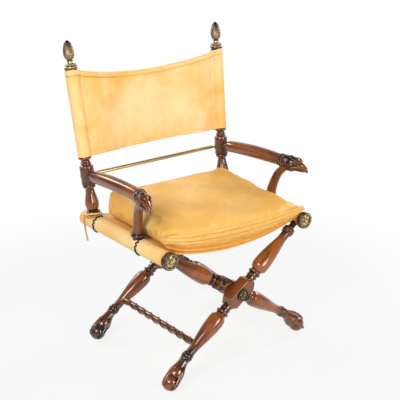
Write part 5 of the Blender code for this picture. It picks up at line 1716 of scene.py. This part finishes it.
class Cushion:
    """Boxed cushion on a lattice, whose lines are its seams; the front's seam runs along one layer."""

    columns = 64
    rows = 50
    layers = 12
    seam_layer = 7

    def __init__(self):
        self.index = {}
        spots = []
        for i in range(self.columns + 1):
            for j in range(self.rows + 1):
                for k in range(self.layers + 1):
                    if i in (0, self.columns) or j in (0, self.rows) or k in (0, self.layers):
                        self.index[i, j, k] = len(spots)
                        spots.append((i, j, k))
        self.lattice = np.array(spots)
        self.a, self.b, self.c = (2 * self.lattice / (self.columns, self.rows, self.layers) - 1).T
        self.layer = self.lattice[:, 2]
        self.front = self.lattice[:, 1] == 0
        self.bottom = self.layer == 0
        self.top = self.layer == self.layers
        self.faces = self.quads()

    def quads(self):
        """Faces of the lattice's skin."""
        faces = []
        sizes = (self.columns, self.rows, self.layers)
        for axis in range(3):
            u, v = [other for other in range(3) if other != axis]
            for level in (0, sizes[axis]):
                for i in range(sizes[u]):
                    for j in range(sizes[v]):
                        corners = []
                        for di, dj in ((0, 0), (1, 0), (1, 1), (0, 1)):
                            spot = [0, 0, 0]
                            spot[axis] = level
                            spot[u] = i + di
                            spot[v] = j + dj
                            corners.append(self.index[tuple(spot)])
                        faces.append(corners)
        return faces

    def shape(self):
        """Points of the sewn cover before it is filled."""
        a, b, c = self.a, self.b, self.c
        rim = (1 - a ** 4) * (1 - b ** 4)
        half = CUSHION_WAIST + (CUSHION_CORNER - CUSHION_WAIST) * b * b * np.where(b < 0, 1.0, 0.25)
        x = a * half * (1 - CUSHION_TAPER * (1 + b) / 2) * (1 - 0.03 * c * c)
        y = CUSHION_MIDDLE + b * CUSHION_DEPTH / 2 * (1 - CUSHION_FRONT_DRAW * (1 - a * a))
        front = np.where(self.front, 1.0, 0.0)
        y = y + front * CUSHION_UNDERCUT * np.clip((0.15 - c) / 1.15, 0, 1) ** 1.5
        turn = np.array(Matrix.Rotation(CUSHION_TURN, 2))
        x, y = turn @ np.stack((x, y))
        low = seat_height(x) + 0.0008 + 0.005 * front + 0.006 * a ** 8
        low = low + 0.16 * np.maximum(0, np.abs(x) - 0.9 * SEAM_X)
        edge = SEAM_Z + CUSHION_FRONT_EDGE + (CUSHION_REAR_EDGE - CUSHION_FRONT_EDGE) * (b + 1) / 2
        drop = CUSHION_FRONT_SAG * (1 - a * a) - CUSHION_CORNER_LIFT * a ** 6 + CUSHION_TILT * a
        edge = edge - drop * (1 - b) / 2 + CUSHION_SIDE_LIFT * (1 - b * b) * a ** 4
        fold = 0.0042 * np.sin(2 * pi * (0.9 * a + 1.1 * b) + 0.6)
        fold = fold + 0.0030 * np.sin(2 * pi * (1.7 * a - 0.6 * b))
        pucker = 0.0018 * np.sin(19 * a + 2 * np.sin(5 * a)) * (1 - a ** 4)
        pucker = pucker * np.exp(-(1 + b) / 0.22) * (1 + b)
        high = edge + CUSHION_CROWN * rim + fold * (1 - a * a) * (1 - b * b) + pucker
        return np.stack((x, y, low + (high - low) * (c + 1) / 2), 1)

    def eased(self, points, ends, turns, weight):
        """Points drawn towards their neighbours."""
        a, b = ends
        total = len(points)
        count = (np.bincount(a, minlength=total) + np.bincount(b, minlength=total))[:, None]
        for _ in range(turns):
            around = np.stack([np.bincount(a, points[b, k], total) + np.bincount(b, points[a, k], total)
                               for k in range(3)], 1) / count
            points = points + weight[:, None] * (around - points)
        return points

    def line(self, j, k, trim=0):
        """Indices along a lattice line from the left side to the right."""
        return [self.index[i, j, k] for i in range(trim, self.columns + 1 - trim)]

    def tone(self):
        """Paler where the top is worn, and darker along the seams of the front, where the darkening paints
        the shade beside the piping.
        """
        a, b = self.a, self.b
        worn = 0.80 * np.exp(-((a + 0.25) / 0.60) ** 2 - ((b - 0.35) / 0.45) ** 2)
        worn = worn - 0.14 - 0.10 * np.maximum(a, 0)
        # Painted shade: the rows beside the front's piping darken.
        seam = self.front & np.isin(self.layer, (self.seam_layer, self.seam_layer + 1, self.layers - 1))
        return np.where(self.top, worn, np.where(self.front, -0.22, -0.02)) - np.where(seam, 0.45, 0.0)


def fill_cushion(mesh, pinned, swell):
    """Swell the sewn cover by the pressure of its filling, no point by more than a given distance."""
    start = points_of(mesh)
    thing = loose_object("cushion_cover", mesh)
    group = thing.vertex_groups.new(name="sewn")
    for weight in np.unique(pinned):
        group.add(np.flatnonzero(pinned == weight).tolist(), float(weight), "REPLACE")
    cloth = thing.modifiers.new("filling", "CLOTH")
    rules = cloth.settings
    rules.vertex_group_mass = "sewn"
    rules.use_pressure = True
    rules.uniform_pressure_force = 4.0
    rules.effector_weights.gravity = 0
    rules.tension_stiffness = 22
    rules.compression_stiffness = 14
    rules.bending_stiffness = 1.6
    rules.shrink_min = -0.022
    cloth.collision_settings.use_collision = False
    scene = bpy.context.scene
    for step in range(1, 21):
        scene.frame_set(step)
    graph = bpy.context.evaluated_depsgraph_get()
    end = points_of(thing.evaluated_get(graph).data)
    thing.modifiers.remove(cloth)
    scene.frame_set(1)
    bpy.data.objects.remove(thing)
    change = end - start
    far = np.linalg.norm(change, axis=1)
    put_points(mesh, start + change * (np.minimum(far, swell) / np.maximum(far, 1e-9))[:, None])


def make_cushion(sizes):
    """Loose cushion with a boxed front, two piped seams and three rows of stitches."""
    lattice = Cushion()
    mesh = build_mesh("cushion", Form().add(lattice.shape(), lattice.faces, tone=lattice.tone()))
    weight = np.where(lattice.front, 0.02, np.where(lattice.bottom, 0.15, 0.5))
    put_points(mesh, lattice.eased(points_of(mesh), edges_of(mesh), 14, weight))
    low_seam = lattice.front & (lattice.layer == lattice.seam_layer)
    seams = low_seam | (lattice.front & lattice.top)
    pinned = np.where(seams, 1.0, np.where(lattice.bottom, 0.95, 0.0))
    fill_cushion(mesh, pinned, sizes.cushion_swell)
    points = points_of(mesh)
    points[:, 1] += np.where(low_seam, CUSHION_SEAM_GROOVE, 0.0)
    on_seat = np.maximum(points[:, 2], seat_height(points[:, 0]) + 0.0004)
    points[:, 2] = np.where(lattice.bottom, on_seat, points[:, 2])
    put_points(mesh, points)
    normals = normals_of(mesh)
    welt = Form()
    for layer, share in ((lattice.layers, 1.0), (lattice.seam_layer, 0.8)):
        row = lattice.line(0, layer)
        crest = smooth_path(points[row] + 0.0010 * normals[row], 3)
        fade = np.sin(np.linspace(0.02, pi - 0.02, len(row))) ** 0.25
        welt.tube(crest, share * sizes.welt_radius * spread(fade, len(crest)), sides=12, tone=0.35)
    rows = [lattice.line(1, lattice.layers, 1), lattice.line(0, lattice.layers - 1, 1),
            lattice.line(0, lattice.seam_layer + 1, 1)]
    lines = [points[row] + 0.0002 * normals[row] for row in rows]
    soft = loose_object("cushion_soft", mesh)
    smooth = soft.modifiers.new("smooth", "SUBSURF")
    smooth.levels = 1
    smooth.render_levels = 1
    pad = place_piece("leather_cushion", plain_copy(soft), "cushion_hide", "cushion", ["seat_cushion"])
    piping = place_piece("cushion_piping", welt, "cushion_hide", "cushion")
    thread = place_stitches("cushion_stitches", lines, "cushion", sizes)
    for piece in (pad, piping, thread):
        gather(piece)


class CHAIR_OT_cushion(bpy.types.Operator):
    """Make the loose leather cushion, filled by a cloth simulation"""

    bl_idname = "chair.cushion"
    bl_label = "Cushion"

    def execute(self, context):
        make_cushion(context.scene.chair_sizes)
        return {"FINISHED"}


class CHAIR_OT_lace(bpy.types.Operator):
    """Make the leather lace at the left post, its knot and its hanging tail"""

    bl_idname = "chair.lace"
    bl_label = "Lace"

    def execute(self, context):
        centre = Vector((-HALF_SPACING, POST_Y, RAIL_HEIGHT))
        around = COVER_RADIUS + LACE_RADIUS + 3 * FIT

        def on_rail(turn, y):
            """Place on the rail's cover, at degrees from its top and a distance behind the post."""
            angle = radians(turn)
            return centre + Vector((-around * sin(angle), y, around * cos(angle)))

        def on_collar(turn, lift):
            """Place on the post's collar, at degrees from X and a height over the rail's cover."""
            angle = radians(turn)
            reach = POST_COLLAR + 0.7 * LACE_RADIUS + FIT
            return centre + Vector((reach * cos(angle), reach * sin(angle), COVER_RADIUS + lift))

        loop = smooth_path([on_rail(52, 0.016), on_collar(190, 0.0035), on_collar(222, 0.0065),
                            on_collar(258, 0.0070), on_collar(295, 0.0060), on_collar(325, 0.0035),
                            on_rail(-58, -0.012)], 6)
        away = [(point - centre) * Vector((1, 1, 0)) for point in loop]
        form = Form()
        form.tube(loop, 1.25 * LACE_RADIUS, sides=14, flat=0.5, outward=away, tone=-0.30)
        strand = smooth_path([on_rail(54, 0.014), on_rail(50, -0.008), on_rail(30, -0.0270),
                              on_rail(2, -0.0305), on_rail(-30, -0.0270)], 6)
        away = [(point - centre) * Vector((1, 0, 1)) for point in strand]
        form.tube(strand, 1.1 * LACE_RADIUS, sides=14, flat=0.5, outward=away, tone=-0.85)
        lift = (COVER_RADIUS + KNOT_RADIUS + FIT) / around
        spot = on_rail(52, 0.016) - centre
        knot_at = centre + Vector((spot.x * lift, spot.y, spot.z * lift))
        knot = []
        for t in angles_round(60):
            turn = Vector((sin(t) + 2 * sin(2 * t), cos(t) - 2 * cos(2 * t), -1.4 * sin(3 * t)))
            knot.append(knot_at + KNOT_TURN * turn)
        form.tube(knot, KNOT_STRAND, sides=10, ring=True, tone=-0.90)
        place_piece("lace_band", form, "tan_leather", "left_side", ["lace_loop"])

        start = knot_at + Vector((-0.45, 0.05, -0.89)).normalized() * (KNOT_RADIUS + 3 * FIT)
        side_x = -HALF_SPACING - around
        drop = start.z - TAIL_LENGTH
        route = [start, (side_x, start.y - 0.003, RAIL_HEIGHT + 0.004),
                 (side_x, start.y - 0.010, (RAIL_HEIGHT + drop) / 2), (side_x, start.y - 0.021, drop)]
        path = smooth_path(route, 8)
        away = [Vector((1, 0.5, 0.02))] * len(path)
        tail = Form().tube(path, 1.35 * LACE_RADIUS, sides=14, flat=0.6, outward=away, tone=-0.82)
        strand = place_piece("lace_strand", tail, "tan_leather", "left_side", ["lace_tail"])
        spots = [TO_ROW @ point for point in path]
        length = sum((b - a).length for a, b in zip(spots, spots[1:]))
        return {"FINISHED"}


def make_light(name, place, target, size, power):
    """Soft square lamp that faces a target."""
    lamp = bpy.data.lights.new(name, "AREA")
    lamp.size = size
    lamp.energy = power
    thing = bpy.data.objects.new(name, lamp)
    thing.location = place
    thing.rotation_euler = (Vector(target) - Vector(place)).to_track_quat("-Z", "Y").to_euler()
    bpy.context.scene.collection.objects.link(thing)


def make_world():
    """Even light of a studio, white to the camera, with a white backdrop for reflections."""
    world = bpy.data.worlds.new("white_studio")
    world.use_nodes = True
    bpy.context.scene.world = world
    studio = Shading(world.node_tree)
    direction = studio.node("ShaderNodeTexCoord", {}, {}, "Generated")
    towards = studio.node("ShaderNodeVectorMath", {"operation": "DOT_PRODUCT"}, {0: direction, 1: BACKDROP},
                          "Value")
    clear = studio.node("ShaderNodeMath", {"operation": "MAXIMUM"},
                        {0: studio.ray("Is Camera Ray"), 1: studio.ray("Is Transmission Ray")})
    glossy = studio.ray("Is Glossy Ray")
    mirrored = studio.ramp(towards, 0.35, 0.88, STUDIO_DIM, 1.0)
    others = glossy * mirrored + (1 - glossy) * STUDIO_LIGHT
    strength = clear + (1 - clear) * others
    light = studio.node("ShaderNodeBackground", {}, {"Color": WHITE, "Strength": strength})
    studio.show("World Output", light)


def make_floor():
    """Pale floor that the camera sees through in part, and that shows white in reflections."""
    bm = bmesh.new()
    bmesh.ops.create_grid(bm, x_segments=1, y_segments=1, size=FLOOR_HALF)
    mesh = bpy.data.meshes.new("floor")
    bm.to_mesh(mesh)
    bm.free()
    floor = loose_object("floor", mesh)
    paint = Finish("pale_floor", base_color=FLOOR_COLOUR, roughness=0.8, specular_ior_level=0.0)
    clear = paint.node("ShaderNodeBsdfTransparent", {}, {})
    away = paint.node("ShaderNodeVectorMath", {"operation": "LENGTH"}, {0: paint.place()}, "Value")
    seen = paint.ramp(away, 0.7, 1.5, FLOOR_CLEAR, 1.0) * paint.ray("Is Camera Ray")
    share = 1 - seen - paint.ray("Is Shadow Ray")
    white = paint.node("ShaderNodeEmission", {}, {"Color": WHITE, "Strength": 1.0})
    mirrored = paint.node("ShaderNodeMixShader", {}, {
        0: paint.ray("Is Glossy Ray"), 1: Value(paint, paint.shader.outputs[0]), 2: white})
    paint.show("Material Output", paint.node("ShaderNodeMixShader", {}, {0: share, 1: clear, 2: mirrored}))
    mesh.materials.append(paint.material)


class CHAIR_OT_stage(bpy.types.Operator):
    """Make the pale floor, the soft lamps and the camera"""

    bl_idname = "chair.stage"
    bl_label = "Stage"

    def execute(self, context):
        scene = context.scene
        scene.view_settings.view_transform = "Standard"
        make_world()
        make_floor()
        for lamp in LAMPS:
            make_light(*lamp)
        lens = bpy.data.cameras.new("photograph")
        lens.lens = CAMERA_LENS
        lens.sensor_width = CAMERA_SENSOR
        camera = bpy.data.objects.new("photograph", lens)
        camera.location = CAMERA_PLACE
        camera.rotation_euler = CAMERA_TURN
        scene.collection.objects.link(camera)
        scene.camera = camera
        return {"FINISHED"}


STEPS = (CHAIR_OT_finishes, CHAIR_OT_stage, CHAIR_OT_lace, CHAIR_OT_legs, CHAIR_OT_hubs, CHAIR_OT_rails,
         CHAIR_OT_posts, CHAIR_OT_arms, CHAIR_OT_rod, CHAIR_OT_slings, CHAIR_OT_cushion)


class CHAIR_PT_pieces(bpy.types.Panel):
    """Sizes, colours and steps of the chair"""

    bl_idname = "CHAIR_PT_pieces"
    bl_label = "Directors chair"
    bl_space_type = "VIEW_3D"
    bl_region_type = "UI"
    bl_category = "Chair"

    def draw(self, context):
        for group in (context.scene.chair_sizes, context.scene.chair_colours):
            box = self.layout.box()
            for name in group.__annotations__:
                box.prop(group, name)
        for step in STEPS:
            self.layout.operator(step.bl_idname)


CLASSES = (ChairSizes, ChairColours, *STEPS, CHAIR_PT_pieces)


def register():
    """Add the settings, steps and panel."""
    for kind in CLASSES:
        bpy.utils.register_class(kind)
    bpy.types.Scene.chair_sizes = bpy.props.PointerProperty(type=ChairSizes)
    bpy.types.Scene.chair_colours = bpy.props.PointerProperty(type=ChairColours)


def unregister():
    """Take the settings, steps and panel away."""
    del bpy.types.Scene.chair_colours
    del bpy.types.Scene.chair_sizes
    for kind in reversed(CLASSES):
        bpy.utils.unregister_class(kind)


def main():
    """Make the whole chair."""
    register()
    for step in STEPS:
        group, name = step.bl_idname.split(".")
        getattr(getattr(bpy.ops, group), name)()


if __name__ == "__main__":
    main()
